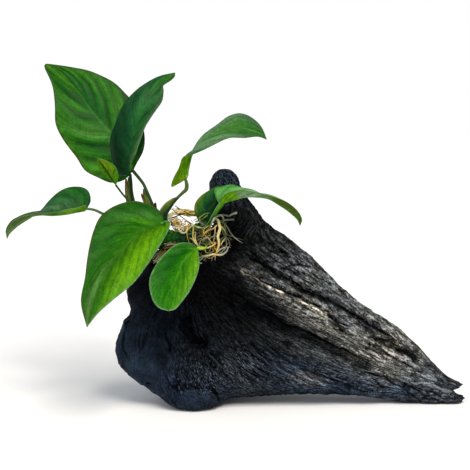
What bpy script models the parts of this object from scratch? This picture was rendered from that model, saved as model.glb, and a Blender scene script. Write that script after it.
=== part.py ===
"""An anubias grown on a piece of dark driftwood, standing free on a flat surface.

The frame is in metres with +Z up. X runs along the wood towards its pointed end, and Y runs away
from the side on which the plant shows best. The origin is under the middle of the whole object, on
the surface that it stands on. Sizes below are in millimetres, measured from a point under the wood's
neck, and every piece is moved to the middle at the end.
"""

import math

import bmesh
import bpy
from mathutils import Matrix, Vector, noise

MM = 0.001
GAP = 0.3  # clearance that neighbouring pieces keep
MIDDLE = (8.7, -17.5)  # the middle of the whole object in X and Y, which goes over the origin

# Driftwood: limbs that are lines of balls, each ball (x, y, z, radius), flattened along Y
WOOD_VOXEL = 4.8
WOOD_SHARE = 0.43  # share of the skin's triangles that is kept
BALL_STEP = 0.3  # distance between balls, as a share of their radius
WOOD_LIMBS = {
    "neck": (0.95, [(-7, 0, 155, 12.5), (-6, 0, 147, 13), (-1, 0, 135, 15), (7, 1, 122, 19),
                    (18, 2, 107, 22)]),
    "ridge": (0.85, [(8, 1, 121, 19), (28, 2, 104, 19), (50, 1, 86, 17), (71, 0, 67, 16),
                     (95, -1, 48, 17.5), (120, -3, 32, 14.5), (145, -4, 15, 8), (163, -4, 8, 4.5)]),
    "heart": (0.8, [(8, 1, 112, 18), (-2, 1, 92, 24), (4, 0, 68, 32), (22, -1, 52, 32)]),
    "long_root": (0.95, [(-26, -2, 34, 33), (8, 0, 35.5, 33), (44, 0, 33.5, 30), (80, -2, 24.5, 23),
                         (112, -4, 14.5, 17), (140, -7, 7.5, 11), (165, -9, 1, 6)]),
    "saddle": (0.8, [(-14, -1, 102, 18), (-28, -2, 80, 20), (-33, -3, 54, 24)]),
    "left_lobe": (0.85, [(0, 0, 108, 16), (-20, -2, 108, 14), (-43, -4, 94, 16), (-58, -3, 73, 18),
                         (-58, -4, 54, 21), (-60, -6, 40, 26), (-56, -8, 31, 23)]),
    "toe": (1.0, [(-48, -9, 30, 24), (-34, -17, 17, 21), (-20, -21, 13, 19)]),
    "heel": (0.95, [(-6, 12, 62, 22), (-18, 28, 28, 20), (-24, 37, 10, 15)]),
}

# Hollows worn into one side of the wood: (side in Y, half width, depth, [(x, z), ...])
WOOD_HOLLOWS = [
    (-1, 14, 8, [(-2, 78), (22, 63), (50, 47), (84, 32), (112, 18)]),
    (-1, 11, 3.5, [(14, 103), (34, 90), (58, 72), (86, 54)]),
    (-1, 12, 8, [(-34, 74), (-31, 58), (-27, 46)]),
    (-1, 10, 5, [(-28, 92), (-14, 84), (0, 70)]),
    (1, 14, 7, [(2, 92), (22, 62), (52, 40), (84, 26)]),
    (1, 12, 7, [(-38, 66), (-46, 44), (-52, 26)]),
]

# Grain: it comes down the neck and sweeps round into the pointed root
NECK_APEX = (-20, 176)
ROOT_TIP = (168, 3)
RIDGE_ANGLE = math.radians(42)
FOOT_ANGLE = math.radians(96)
GRAIN_SPAN = 130
GRAIN_TURN = (150, 240)  # distances from the tip between which it turns
FLUTE_DEPTH = 2.2

# Leaf blades. Each is spread between its midrib and its two margins, all from stalk to tip.
# arch: how far the blade bulges up between them, as a share of the width there.
# wave: height, count and start of the ruffles along the margins
LEAF_ROWS = 10
LEAF_COLUMNS = 4
BLADE_THICKNESS = 0.8
MIDRIB_THICKNESS = 1.5
FULL_WIDTH = 7  # half width at which a blade has its full thickness
VEIN_SWEEP = 0.18  # how far the side veins bow back, as a share of their length
LEAVES = {
    "tall_left": dict(
        arch=0.07, wave=(1.2, 4, 0.2),
        rib=[(-72, 14, 162), (-77, 18, 174), (-84, 22, 184), (-93, 27, 193), (-103, 33, 204),
             (-113, 40, 217), (-125, 46, 228), (-138, 51, 237)],
        left=[(-72, 14, 162), (-78, 11, 156), (-87, 11, 154), (-96, 13, 157), (-106, 16, 162),
              (-113, 19, 172), (-122, 23, 183), (-128, 27, 195), (-129, 32, 208), (-133, 41, 222),
              (-138, 51, 237)],
        right=[(-72, 14, 162), (-69, 15, 168), (-65, 18, 176), (-64, 21, 185), (-66, 26, 196),
               (-70, 31, 207), (-78, 36, 215), (-89, 41, 225), (-103, 45, 231), (-121, 48, 235),
               (-138, 51, 237)]),
    "tall_dark": dict(
        arch=0.15, wave=(0.6, 3, 0.6),
        rib=[(-75, 0, 159), (-73, -5, 170), (-71, -9, 180), (-68, -9, 192), (-64, -6, 204), (-59, 0, 215),
             (-51, 8, 224), (-42, 18, 231)],
        left=[(-75, 0, 159), (-80, 0, 160), (-84, -1, 166), (-86, -2, 177), (-86, -2, 188), (-82, -1, 198),
              (-77, 2, 209), (-69, 6, 219), (-60, 10, 225), (-51, 14, 229), (-42, 18, 231)],
        right=[(-75, 0, 159), (-73, 0, 165), (-70, 5, 175), (-66, 9, 186), (-61, 8, 197), (-55, 8, 204),
               (-50, 7, 211), (-50, 9, 220), (-47, 13, 225), (-42, 18, 231)]),
    "young": dict(
        arch=0.1, wave=(0, 1, 0),
        rib=[(-82, -8, 154), (-86, -12, 161), (-89, -17, 167), (-93, -24, 174)],
        left=[(-82, -8, 154), (-87, -12, 159), (-91, -17, 164), (-93, -22, 170), (-93, -24, 174)],
        right=[(-82, -8, 154), (-80, -11, 160), (-81, -17, 167), (-85, -21, 171), (-89, -23, 173),
               (-93, -24, 174)]),
    "low_left": dict(
        arch=0.08, wave=(0.4, 3, 0.1),
        rib=[(-102, -10, 138), (-108, -15, 137), (-116, -20, 136), (-124, -25, 136), (-131, -30, 137),
             (-138, -35, 136), (-144, -40, 133), (-149, -44, 128), (-151, -46, 122)],
        left=[(-102, -10, 138), (-102, -17, 142), (-105, -25, 142), (-111, -32, 141), (-118, -37, 140),
              (-126, -41, 140), (-133, -44, 140), (-140, -47, 138), (-147, -49, 135), (-151, -49, 129),
              (-151, -46, 122)],
        right=[(-102, -10, 138), (-100, -5, 143), (-102, 0, 149), (-107, 2, 152), (-115, 0, 152),
               (-122, -3, 149), (-128, -9, 144), (-133, -17, 138), (-139, -25, 133), (-146, -33, 129),
               (-150, -40, 125), (-151, -46, 122)]),
    "front": dict(
        arch=0.14, wave=(0.6, 3, 0.0),
        rib=[(-48, -22, 130), (-55, -29, 128), (-62, -37, 126), (-70, -46, 120), (-79, -56, 111),
             (-86, -64, 104), (-91, -72, 94), (-94, -80, 82), (-94, -86, 71)],
        left=[(-48, -22, 130), (-50, -18, 136), (-57, -16, 141), (-69, -17, 144), (-82, -22, 141),
              (-91, -30, 135), (-95, -39, 125), (-97, -50, 112), (-98, -61, 99), (-99, -74, 85),
              (-94, -86, 71)],
        right=[(-48, -22, 130), (-45, -17, 130), (-45, -21, 125), (-51, -31, 115), (-59, -43, 103),
               (-68, -55, 93), (-79, -67, 85), (-88, -77, 78), (-94, -86, 71)]),
    "front_small": dict(
        arch=0.14, wave=(0.4, 2, 0.3),
        rib=[(-25, -33, 114), (-30, -38, 111), (-35, -43, 106), (-38, -48, 98), (-42, -53, 88),
             (-44, -56, 76)],
        left=[(-25, -33, 114), (-30, -31, 117), (-38, -32, 117), (-46, -36, 112), (-53, -41, 104),
              (-57, -46, 94), (-55, -51, 83), (-50, -54, 77), (-44, -56, 76)],
        right=[(-25, -33, 114), (-24, -36, 106), (-25, -41, 98), (-29, -46, 89), (-35, -51, 81),
               (-41, -54, 76), (-44, -56, 76)]),
    "arching": dict(
        arch=0.06, wave=(0.5, 3, 0.4),
        rib=[(-34, -8, 158), (-33, -8, 164), (-32, -7, 170), (-30, -4, 176), (-25, 0, 182), (-17, 6, 187),
             (-8, 13, 191), (2, 19, 193), (12, 24, 191), (19, 28, 188), (23, 31, 183)],
        left=[(-34, -8, 158), (-33, 4, 161), (-32, 9, 167), (-29, 10, 176), (-25, 11, 183), (-20, 15, 190),
              (-12, 21, 195), (-4, 28, 200), (4, 34, 202), (12, 37, 199), (19, 36, 192), (23, 31, 183)],
        right=[(-34, -8, 158), (-39, -8, 155), (-44, -8, 153), (-42, -12, 160), (-38, -16, 167),
               (-35, -18, 174), (-29, -17, 176), (-22, -12, 179), (-12, -6, 183), (-3, 0, 186),
               (7, 8, 186), (16, 18, 186), (23, 31, 183)]),
    "over_wood": dict(
        arch=0.1, wave=(0.4, 3, 0.2),
        rib=[(-10, -24, 142), (-5, -28, 145), (1, -32, 148), (8, -36, 150), (16, -39, 150), (23, -42, 149),
             (30, -45, 145), (36, -47, 141), (41, -48, 136), (43, -48, 131)],
        left=[(-10, -24, 142), (-13, -23, 147), (-14, -22, 153), (-9, -22, 155), (-2, -22, 156),
              (5, -24, 154), (13, -27, 153), (21, -31, 149), (29, -36, 145), (35, -41, 141),
              (40, -45, 137), (43, -48, 131)],
        right=[(-10, -24, 142), (-9, -29, 147), (-5, -38, 152), (3, -45, 154), (10, -49, 154),
               (18, -52, 153), (27, -54, 150), (35, -55, 147), (41, -54, 142), (44, -51, 136),
               (43, -48, 131)]),
    "behind_root": dict(
        arch=0.12, wave=(0.2, 2, 0),
        rib=[(-21, -16, 134), (-19, -18, 139), (-17, -20, 145), (-14, -20, 151), (-11, -18, 155)],
        left=[(-21, -16, 134), (-26, -15, 134), (-28, -16, 137), (-27, -16, 142), (-23, -17, 148),
              (-17, -18, 152), (-11, -18, 155)],
        right=[(-21, -16, 134), (-17, -14, 136), (-14, -15, 141), (-12, -16, 147), (-11, -18, 155)]),
}

# Leaf stalks: thickness at the blade and at the rhizome, and the way between
STALKS = {
    "tall_left": (1.1, 1.7, [(-72, 14, 162), (-69, 11, 157), (-65, 7, 152), (-61, 2, 145), (-57, -3, 138),
                             (-50, -8, 126), (-46, -9, 119)]),
    "tall_dark": (1.1, 1.7, [(-75, 0, 159), (-73, 2, 157), (-72, 1, 152), (-72, -1, 146), (-70, -3, 140),
                             (-62, -7, 126), (-55, -8, 117)]),
    "young": (0.8, 1.2, [(-82, -8, 154), (-79, -9, 148), (-73, -10, 142), (-65, -11, 131),
                         (-58, -10, 120)]),
    "low_left": (0.9, 1.4, [(-102, -10, 138), (-97, -9, 137), (-91, -8, 134), (-76, -7, 126),
                            (-61, -7, 116)]),
    "front": (1.1, 1.6, [(-48, -22, 130), (-46, -20, 129), (-43, -16, 126), (-41, -12, 121)]),
    "front_small": (0.9, 1.3, [(-25, -33, 114), (-22, -32, 114), (-20, -28, 115), (-21, -17, 120)]),
    "arching": (1.0, 1.8, [(-34, -8, 158), (-32, -8, 155), (-34, -8, 150), (-39, -9, 145), (-44, -9, 139),
                           (-48, -9, 133), (-45, -9, 122)]),
    "over_wood": (1.1, 1.5, [(-10, -24, 142), (-12, -23, 139), (-15, -20, 133), (-20, -17, 128),
                             (-24, -13, 123)]),
    "behind_root": (0.9, 1.2, [(-21, -16, 134), (-21, -14, 130), (-26, -12, 124)]),
}

# Rhizome: the creeping stem that lies in the saddle of the wood, (x, y, z, radius)
RHIZOME = [(-62, -8, 108, 2.6), (-56, -8, 111, 3.6), (-45, -10, 114, 4.1), (-34, -11, 116, 4.3),
           (-25, -12, 120, 4), (-18, -13, 127, 2.8)]

# Dead sheaths at the foot of the stalks, (x, y, z, half width), and the stump of a lost leaf
SHEATHS = {
    "sheath_tall": [(-66, 2, 147, 0.6), (-63, 0, 143, 1.4), (-60, -4, 138, 1.7), (-56, -7, 131, 1.2)],
    "sheath_dark": [(-76, 0, 155, 0.6), (-76, -1, 150, 1.5), (-75, -2, 143, 1.7), (-71, -5, 134, 1.2)],
    "sheath_arching": [(-42, -10, 145, 0.7), (-45, -11, 141, 2.0), (-49, -11, 136, 2.4), (-51, -11, 129, 1.8)],
    "old_stump": [(-56, -8, 141, 0.6), (-55, -9, 137, 1.0), (-54, -9, 131, 1.1)],
}

# Roots: balls (x, y, z, radius) of the lumps that the fine roots fill, and the long ones that run free
ROOT_LUMPS = {
    "root_tangle": [(-23, -19, 122, 5), (-16, -21, 124, 5), (-22, -22, 115, 6), (-14, -22, 115, 6),
                    (-20, -24, 108, 5), (-12, -20, 120, 5)],
    "root_bundle": [(-45, -3, 132, 3), (-39, -2, 132, 4), (-32, -2, 131, 4), (-26, -3, 129, 3.5),
                    (-38, -3, 126, 3.5), (-33, -3, 125, 3.5)],
}
LONG_ROOTS = {
    "root_right": [(-9, -18, 124, 0.9), (-6, -20, 119, 0.9), (-3, -20, 115, 0.8), (0, -20, 112, 0.6)],
    "root_low": [(-14, -24, 108, 1.0), (-19, -28, 104, 1.0), (-24, -28, 103, 0.9), (-29, -30, 101, 0.6)],
    "root_stub": [(-12, -17, 128, 1.0), (-8, -17, 131, 1.0), (-3, -16, 134, 0.8)],
}
LUMP_VOXEL = 2.2
LUMP_SHARE = 0.25


def smooth(keys, t):
    """The Catmull-Rom value at t, from 0 to 1, of a list of vectors."""
    spans = len(keys) - 1
    i = max(0, min(int(t * spans), spans - 1))
    f = t * spans - i
    b, c = keys[i], keys[i + 1]
    a = keys[i - 1] if i > 0 else b * 2 - c
    d = keys[i + 2] if i + 2 <= spans else c * 2 - b
    return (b * 2 + (c - a) * f + (a * 2 - b * 5 + c * 4 - d) * f * f
            + (b * 3 - a - c * 3 + d) * f * f * f) * 0.5


def vectors(points):
    return [Vector(p) for p in points]


class Line:
    """A smooth line through points, read by the share of its length."""

    STEPS = 96

    def __init__(self, points):
        keys = vectors(points)
        self.points = [smooth(keys, i / self.STEPS) for i in range(self.STEPS + 1)]
        self.lengths = [0.0]
        for p, q in zip(self.points, self.points[1:]):
            self.lengths.append(self.lengths[-1] + (q - p).length)

    def at(self, share):
        """The point at a share of the length from 0 to 1."""
        target = max(0.0, min(share, 1.0)) * self.lengths[-1]
        i = next(k for k in range(1, self.STEPS + 1) if self.lengths[k] >= target)
        before = self.lengths[i - 1]
        return self.points[i - 1].lerp(self.points[i], (target - before) / (self.lengths[i] - before))


def material(name, colour, roughness):
    made = bpy.data.materials.new(name)
    made.use_nodes = True
    shader = made.node_tree.nodes["Principled BSDF"]
    shader.inputs["Base Color"].default_value = (*colour, 1)
    shader.inputs["Roughness"].default_value = roughness
    made.diffuse_color = (*colour, 1)
    return made


def add(name, form, finish):
    """Adds a bmesh that was made in millimetres as a named object in metres."""
    bmesh.ops.recalc_face_normals(form, faces=form.faces)
    bmesh.ops.scale(form, vec=(MM, MM, MM), verts=form.verts)
    mesh = bpy.data.meshes.new(name)
    form.to_mesh(mesh)
    form.free()
    mesh.materials.append(finish)
    mesh.shade_smooth()
    mesh.set_sharp_from_angle(angle=math.radians(50))
    made = bpy.data.objects.new(name, mesh)
    bpy.context.scene.collection.objects.link(made)
    return made


def take_form(piece):
    """A bmesh in millimetres of a piece, which is removed."""
    form = bmesh.new()
    form.from_mesh(piece.data)
    bpy.data.objects.remove(piece)
    bmesh.ops.scale(form, vec=(1 / MM, 1 / MM, 1 / MM), verts=form.verts)
    form.normal_update()
    return form


def apply_modifiers(piece):
    """Replaces a piece's mesh with the mesh that its modifiers make."""
    bpy.context.view_layer.update()
    shown = piece.evaluated_get(bpy.context.evaluated_depsgraph_get())
    piece.data = bpy.data.meshes.new_from_object(shown)
    piece.modifiers.clear()


def one_skin(piece, voxel, share):
    """Joins a piece's overlapping balls into one even skin, and keeps a share of its triangles."""
    remesh = piece.modifiers.new("one_skin", "REMESH")
    remesh.mode = "VOXEL"
    remesh.voxel_size = voxel * MM
    even = piece.modifiers.new("even", "SMOOTH")
    even.factor = 0.6
    even.iterations = 4
    if share < 1:
        piece.modifiers.new("fewer", "DECIMATE").ratio = share
    apply_modifiers(piece)


def main_body(piece):
    """Deletes all of a piece but its largest connected part, such as the crumbs that a cut leaves."""
    form = bmesh.new()
    form.from_mesh(piece.data)
    left = set(form.verts)
    bodies = []
    while left:
        body, edge = set(), [left.pop()]
        while edge:
            vertex = edge.pop()
            body.add(vertex)
            near = [e.other_vert(vertex) for e in vertex.link_edges]
            edge += [v for v in near if v in left]
            left.difference_update(near)
        bodies.append(body)
    bodies.sort(key=len)
    bmesh.ops.delete(form, geom=[v for body in bodies[:-1] for v in body], context="VERTS")
    form.to_mesh(piece.data)
    form.free()


def trim(piece, neighbours):
    """Cuts a piece back from its neighbours, so that it meets them with the gap between."""
    for neighbour in neighbours:
        cutter = neighbour.copy()
        cutter.data = neighbour.data.copy()
        for vertex in cutter.data.vertices:
            vertex.co += vertex.normal * GAP * MM * 1.3
        bpy.context.scene.collection.objects.link(cutter)
        piece.modifiers.new("trim", "BOOLEAN").object = cutter
        apply_modifiers(piece)
        bpy.data.objects.remove(cutter)
    main_body(piece)


def balls_along(form, keys, flatness):
    """Adds balls to a bmesh along a line of (x, y, z, radius) keys, close enough to read as one limb."""
    t = 0.0
    while t <= 1:
        x, y, z, radius = smooth(keys, t)
        place = Matrix.Translation((x, y, z)) @ Matrix.Diagonal((radius, radius * flatness, radius, 1))
        bmesh.ops.create_icosphere(form, subdivisions=2, radius=1, matrix=place)
        ahead = (smooth(keys, min(t + 0.01, 1)) - smooth(keys, t - 0.01)).to_3d().length / 0.02
        t += BALL_STEP * radius / max(ahead, 1)


def grain(p):
    """(across, along) the grain at a point of the wood, in millimetres, by its X and Z."""
    from_apex = math.atan2(NECK_APEX[1] - p.z, p.x - NECK_APEX[0])
    from_tip = math.atan2(p.z - ROOT_TIP[1], ROOT_TIP[0] - p.x)
    reach = math.hypot(p.x - ROOT_TIP[0], p.z - ROOT_TIP[1])
    down_neck = (from_apex - RIDGE_ANGLE) / (FOOT_ANGLE - RIDGE_ANGLE)
    along_root = (RIDGE_ANGLE - from_tip) / RIDGE_ANGLE
    near, far = GRAIN_TURN
    share = max(0.0, min((far - reach) / (far - near), 1.0))
    share = share * share * (3 - 2 * share)
    return (down_neck + (along_root - down_neck) * share) * GRAIN_SPAN, reach


def flutes(p):
    """How far the wood stands out at a point: long ridges with hollows between them."""
    across, along = grain(p)
    wide = noise.noise(Vector((across / 17, p.y / 30, along / 120)))
    narrow = noise.noise(Vector((across / 8, p.y / 14, along / 70 + 9)))
    return FLUTE_DEPTH * (1.5 * wide + 0.6 * narrow)


def distance_to_span(x, z, a, b):
    """Distance from a point to the straight span between a and b, in the plane of X and Z."""
    dx, dz = b[0] - a[0], b[1] - a[1]
    t = max(0.0, min(((x - a[0]) * dx + (z - a[1]) * dz) / (dx * dx + dz * dz), 1.0))
    return math.hypot(x - a[0] - dx * t, z - a[1] - dz * t)


def hollow(p, facing):
    """How deep the worn hollows are at a point of the skin that faces that way in Y."""
    deepest = 0.0
    for side, half_width, depth, path in WOOD_HOLLOWS:
        away = min(distance_to_span(p.x, p.z, a, b) for a, b in zip(path, path[1:]))
        if away < half_width:
            on_side = max(0.0, min(facing * side * 1.6, 1.0))
            deepest = max(deepest, depth * on_side * (0.5 + 0.5 * math.cos(math.pi * away / half_width)))
    return deepest


def cut_at_floor(form):
    """Cuts a bmesh off flat at the surface that it stands on."""
    everything = form.verts[:] + form.edges[:] + form.faces[:]
    cut = bmesh.ops.bisect_plane(form, geom=everything, dist=0.01, plane_co=(0, 0, 0), plane_no=(0, 0, -1),
                                 clear_outer=True)
    edges = [g for g in cut["geom_cut"] if isinstance(g, bmesh.types.BMEdge)]
    bmesh.ops.holes_fill(form, edges=edges)
    bmesh.ops.triangulate(form, faces=form.faces)


def driftwood(finish):
    form = bmesh.new()
    for flatness, balls in WOOD_LIMBS.values():
        balls_along(form, vectors(balls), flatness)
    skin = add("driftwood", form, finish)
    one_skin(skin, WOOD_VOXEL, 1)
    form = take_form(skin)
    for vertex, out in [(v, v.normal * (flutes(v.co) - hollow(v.co, v.normal.y))) for v in form.verts]:
        vertex.co += out
    wood = add("driftwood", form, finish)
    wood.modifiers.new("fewer", "DECIMATE").ratio = WOOD_SHARE
    apply_modifiers(wood)
    form = take_form(wood)
    cut_at_floor(form)
    return add("driftwood", form, finish)


def blade(name, rib, left, right, arch, wave, finish):
    """A leaf blade, in rows that run from the midrib out to the margins as the side veins do."""
    middle, margins = Line(rib), {-1: Line(left), 1: Line(right)}
    height, count, start = wave

    def on_blade(row, column):
        """The point at row, from 0 at the stalk to 1 at the tip, and column, -1 at left to 1 at right."""
        side = 1 if column > 0 else -1
        away = abs(column)
        root, rim = middle.at(row ** 1.2), margins[side].at(row)
        ahead = middle.at(row ** 1.2 + 0.02) - middle.at(row ** 1.2 - 0.02)
        up = ((rim - root) * side).cross(ahead)
        if up.length < 0.001:
            return root.lerp(rim, away)
        swell = math.sin(math.pi * away) * (rim - root).length
        ruffle = height * away * away * math.sin(math.pi * row) * math.sin(2 * math.pi * (count * row + start))
        back = ahead.normalized() * VEIN_SWEEP * swell * min(1, 4 * row)
        return root.lerp(rim, away) + up.normalized() * (arch * swell + ruffle) - back

    form = bmesh.new()
    tops = {}
    for i in range(LEAF_ROWS + 1):
        for j in range(-LEAF_COLUMNS, LEAF_COLUMNS + 1):
            at_end = i in (0, LEAF_ROWS)
            if not at_end or j == -LEAF_COLUMNS:
                tops[i, j] = form.verts.new(on_blade(i / LEAF_ROWS, 0 if at_end else j / LEAF_COLUMNS))
            else:
                tops[i, j] = tops[i, -LEAF_COLUMNS]

    def face(*corners):
        distinct = list(dict.fromkeys(corners))
        if len(distinct) > 2:
            form.faces.new(distinct)

    for i in range(LEAF_ROWS):
        for j in range(-LEAF_COLUMNS, LEAF_COLUMNS):
            face(tops[i, j], tops[i, j + 1], tops[i + 1, j + 1], tops[i + 1, j])
    form.normal_update()
    below = {}
    for (i, j), top in tops.items():
        at_rib = max(0.0, 1 - abs(j) * 1.5 / LEAF_COLUMNS)
        half_width = (tops[i, LEAF_COLUMNS].co - tops[i, -LEAF_COLUMNS].co).length / 2
        fullness = 0.2 + 0.8 * min(half_width / FULL_WIDTH, 1)
        thick = (BLADE_THICKNESS + (MIDRIB_THICKNESS - BLADE_THICKNESS) * at_rib) * fullness
        below[top] = top if i in (0, LEAF_ROWS) else form.verts.new(top.co - top.normal * thick)
    for top_face in form.faces[:]:
        face(*[below[v] for v in reversed(top_face.verts)])
    for i in range(LEAF_ROWS):
        for j in (-LEAF_COLUMNS, LEAF_COLUMNS):
            a, b = tops[i, j], tops[i + 1, j]
            face(a, b, below[b], below[a])
    bmesh.ops.triangulate(form, faces=form.faces)
    return add(name, form, finish)


def rod(name, keys, finish, rings=8, sides=8):
    """A tapering round piece along (x, y, z, radius) keys, with flat ends."""
    keys = vectors(keys)
    stations = [smooth(keys, i / rings) for i in range(rings + 1)]
    centres = [s.to_3d() for s in stations]
    form = bmesh.new()
    loops = []
    side = Vector((0, 1, 0))
    for i, centre in enumerate(centres):
        ahead = (centres[min(i + 1, rings)] - centres[max(i - 1, 0)]).normalized()
        side = (side - ahead * side.dot(ahead)).normalized()
        other = ahead.cross(side)
        turns = [2 * math.pi * k / sides for k in range(sides)]
        loops.append([form.verts.new(centre + (side * math.cos(a) + other * math.sin(a)) * stations[i].w)
                      for a in turns])
    for loop, following in zip(loops, loops[1:]):
        for k in range(sides):
            form.faces.new((loop[k], loop[(k + 1) % sides], following[(k + 1) % sides], following[k]))
    form.faces.new(loops[0])
    form.faces.new(loops[-1])
    bmesh.ops.triangulate(form, faces=form.faces)
    return add(name, form, finish)


def lump(name, balls, finish):
    """A soft lump of overlapping balls, the form of a tuft of fine roots."""
    form = bmesh.new()
    for x, y, z, radius in balls:
        bmesh.ops.create_icosphere(form, subdivisions=2, radius=radius, matrix=Matrix.Translation((x, y, z)))
    piece = add(name, form, finish)
    one_skin(piece, LUMP_VOXEL, LUMP_SHARE)
    return add(name, take_form(piece), finish)


def main():
    for old in list(bpy.data.objects):
        bpy.data.objects.remove(old)
    wood_finish = material("waterlogged_wood", (0.02, 0.02, 0.022), 0.6)
    leaf_finish = material("leaf_green", (0.04, 0.2, 0.02), 0.35)
    young_finish = material("young_leaf_green", (0.2, 0.35, 0.04), 0.4)
    stalk_finish = material("stalk_green", (0.05, 0.1, 0.03), 0.45)
    rhizome_finish = material("rhizome_green", (0.03, 0.12, 0.04), 0.5)
    sheath_finish = material("dry_sheath", (0.25, 0.16, 0.08), 0.8)
    root_finish = material("root_cream", (0.55, 0.42, 0.22), 0.7)

    wood = driftwood(wood_finish)
    blades = {name: blade(f"leaf_{name}", finish=young_finish if name == "young" else leaf_finish, **leaf)
              for name, leaf in LEAVES.items()}
    rhizome = rod("rhizome", RHIZOME, rhizome_finish, rings=14, sides=10)
    trim(rhizome, [wood])
    placed = [wood, rhizome]
    for name, (thin, thick, way) in STALKS.items():
        last = len(way) - 1
        keys = [(*p, thin + (thick - thin) * i / last) for i, p in enumerate(way)]
        stalk = rod(f"stalk_{name}", keys, stalk_finish)
        trim(stalk, placed)
        trim(blades[name], [stalk])
        placed.append(stalk)
    for name, keys in SHEATHS.items():
        sheath = rod(name, keys, sheath_finish, rings=6, sides=6)
        trim(sheath, placed)
        placed.append(sheath)
    for name, balls in ROOT_LUMPS.items():
        tuft = lump(name, balls, root_finish)
        trim(tuft, [*placed, *blades.values()])
        placed.append(tuft)
    for name, keys in LONG_ROOTS.items():
        root = rod(name, keys, root_finish, sides=6)
        trim(root, placed)
        placed.append(root)
    for piece in [*placed, *blades.values()]:
        piece.data.transform(Matrix.Translation((-MIDDLE[0] * MM, -MIDDLE[1] * MM, 0)))


main()
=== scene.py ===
# %% [markdown]
# # An anubias grown on driftwood
#
# Anubias is a broad-leaved water plant that holds on to wood with its roots instead of growing in sand.
# This one sits in the saddle of a dark, fluted piece of bogwood that has lain in water for years. This
# lesson dresses the plain solids of the part: the wood gets its ledges, cracks and fibres, the leaves
# their veins, and the tufts of roots are drawn root by root. Everything is in the part's own frame.

import math
import random

import bpy
import numpy as np
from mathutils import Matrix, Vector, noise


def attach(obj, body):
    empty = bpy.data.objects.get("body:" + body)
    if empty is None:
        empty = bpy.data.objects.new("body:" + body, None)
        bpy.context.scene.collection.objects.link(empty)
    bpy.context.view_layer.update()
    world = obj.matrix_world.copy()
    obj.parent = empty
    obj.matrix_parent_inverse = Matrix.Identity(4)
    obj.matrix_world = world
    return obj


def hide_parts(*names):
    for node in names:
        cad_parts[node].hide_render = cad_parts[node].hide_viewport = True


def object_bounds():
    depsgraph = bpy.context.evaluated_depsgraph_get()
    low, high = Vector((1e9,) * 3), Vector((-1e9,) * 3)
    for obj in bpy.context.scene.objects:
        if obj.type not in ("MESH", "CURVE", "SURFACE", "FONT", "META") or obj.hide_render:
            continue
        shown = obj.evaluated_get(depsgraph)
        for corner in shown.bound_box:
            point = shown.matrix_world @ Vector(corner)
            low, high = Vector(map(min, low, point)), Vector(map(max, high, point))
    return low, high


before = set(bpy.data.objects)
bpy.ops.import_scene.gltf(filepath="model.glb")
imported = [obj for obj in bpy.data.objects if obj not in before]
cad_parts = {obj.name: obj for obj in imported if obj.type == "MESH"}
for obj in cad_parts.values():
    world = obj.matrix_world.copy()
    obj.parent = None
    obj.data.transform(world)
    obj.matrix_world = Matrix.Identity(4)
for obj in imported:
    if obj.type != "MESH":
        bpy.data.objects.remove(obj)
solid_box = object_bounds()
print("solids:", ", ".join(sorted(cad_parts)))

# %% [markdown]
# ## Measures
#
# Sizes are in millimetres, from the same point under the wood's neck as in the solids. The pieces
# move to the middle of the object, and to metres, only when their mesh is made. Lines and patches that
# were given one by one could be nested lists. They stand in tables of plain text, which are easier to read.

# %% Millimetres, soft steps and hills
MM = 0.001
MIDDLE = np.array((8.7, -17.5, 0.0))


def ease(values, low, high):
    """A soft step from 0 at low to 1 at high."""
    t = np.clip((values - low) / (high - low), 0, 1)
    return t * t * (3 - 2 * t)


def bell(values, width):
    """1 where values are 0, and less and less beyond a width."""
    return np.exp(-(values / width) ** 2)


def hills(points, sizes, seed=0):
    """Smooth hills and dips, from about -1 to 1, as wide as the sizes in each direction."""
    spread = np.asarray(points) / sizes + seed * 7.31
    return 1.5 * np.array([noise.noise(p) for p in spread.tolist()])


def length_of(vectors):
    return np.linalg.norm(vectors, axis=-1)


# %% Tables written as plain text
def table(text):
    """Groups of words and numbers: commas stand between groups, and spaces between words."""
    return [tuple(float(word) if word[0] in "-0123456789" else word for word in group.split())
            for group in text.split(",")]


def rows(text):
    """Rows of such tables: semicolons stand between rows, and colons between the tables of one."""
    return [[table(part) for part in row.split(":")] for row in text.split(";")]


# %% Smooth lines through points
def curve(points, count=97):
    """A smooth line through points, as an array of that many points."""
    keys = np.array(points, float)
    spans = len(keys) - 1
    keys = np.vstack((2 * keys[0] - keys[1], keys, 2 * keys[-1] - keys[-2]))
    t = np.linspace(0, spans, count)
    i = np.minimum(t.astype(int), spans - 1)
    f = (t - i)[:, None]
    a, b, c, d = keys[i], keys[i + 1], keys[i + 2], keys[i + 3]
    return (2 * b + (c - a) * f + (2 * a - 5 * b + 4 * c - d) * f**2 + (3 * b - a - 3 * c + d) * f**3) / 2


def along(line, share):
    """Points of a line at shares of its length."""
    so_far = np.append(0, np.cumsum(length_of(np.diff(line[:, :3], axis=0))))
    wanted = np.clip(share, 0, 1) * so_far[-1]
    return np.stack([np.interp(wanted, so_far, column) for column in line.T], axis=-1)


# %% [markdown]
# ## Colours and nodes
#
# Colours are written as the hex values that a screen shows, and one function turns them to the linear
# light that the renderer counts in. Another adds any shader node with its settings and its links.

# %% Colours from hex, and one way to add a node
def linear(shade):
    """Linear red, green and blue of an sRGB hex colour."""
    parts = np.array([int(shade[i:i + 2], 16) / 255 for i in (1, 3, 5)])
    return np.where(parts <= 0.04045, parts / 12.92, ((parts + 0.055) / 1.055) ** 2.4)


def feed(tree, node, inputs):
    """Sets a node's inputs. A socket, or the first output of a node, is linked, and a value is set."""
    for key, value in inputs.items():
        if isinstance(value, bpy.types.Node):
            value = value.outputs[0]
        if isinstance(value, bpy.types.NodeSocket):
            tree.links.new(value, node.inputs[key])
        else:
            node.inputs[key].default_value = value


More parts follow.
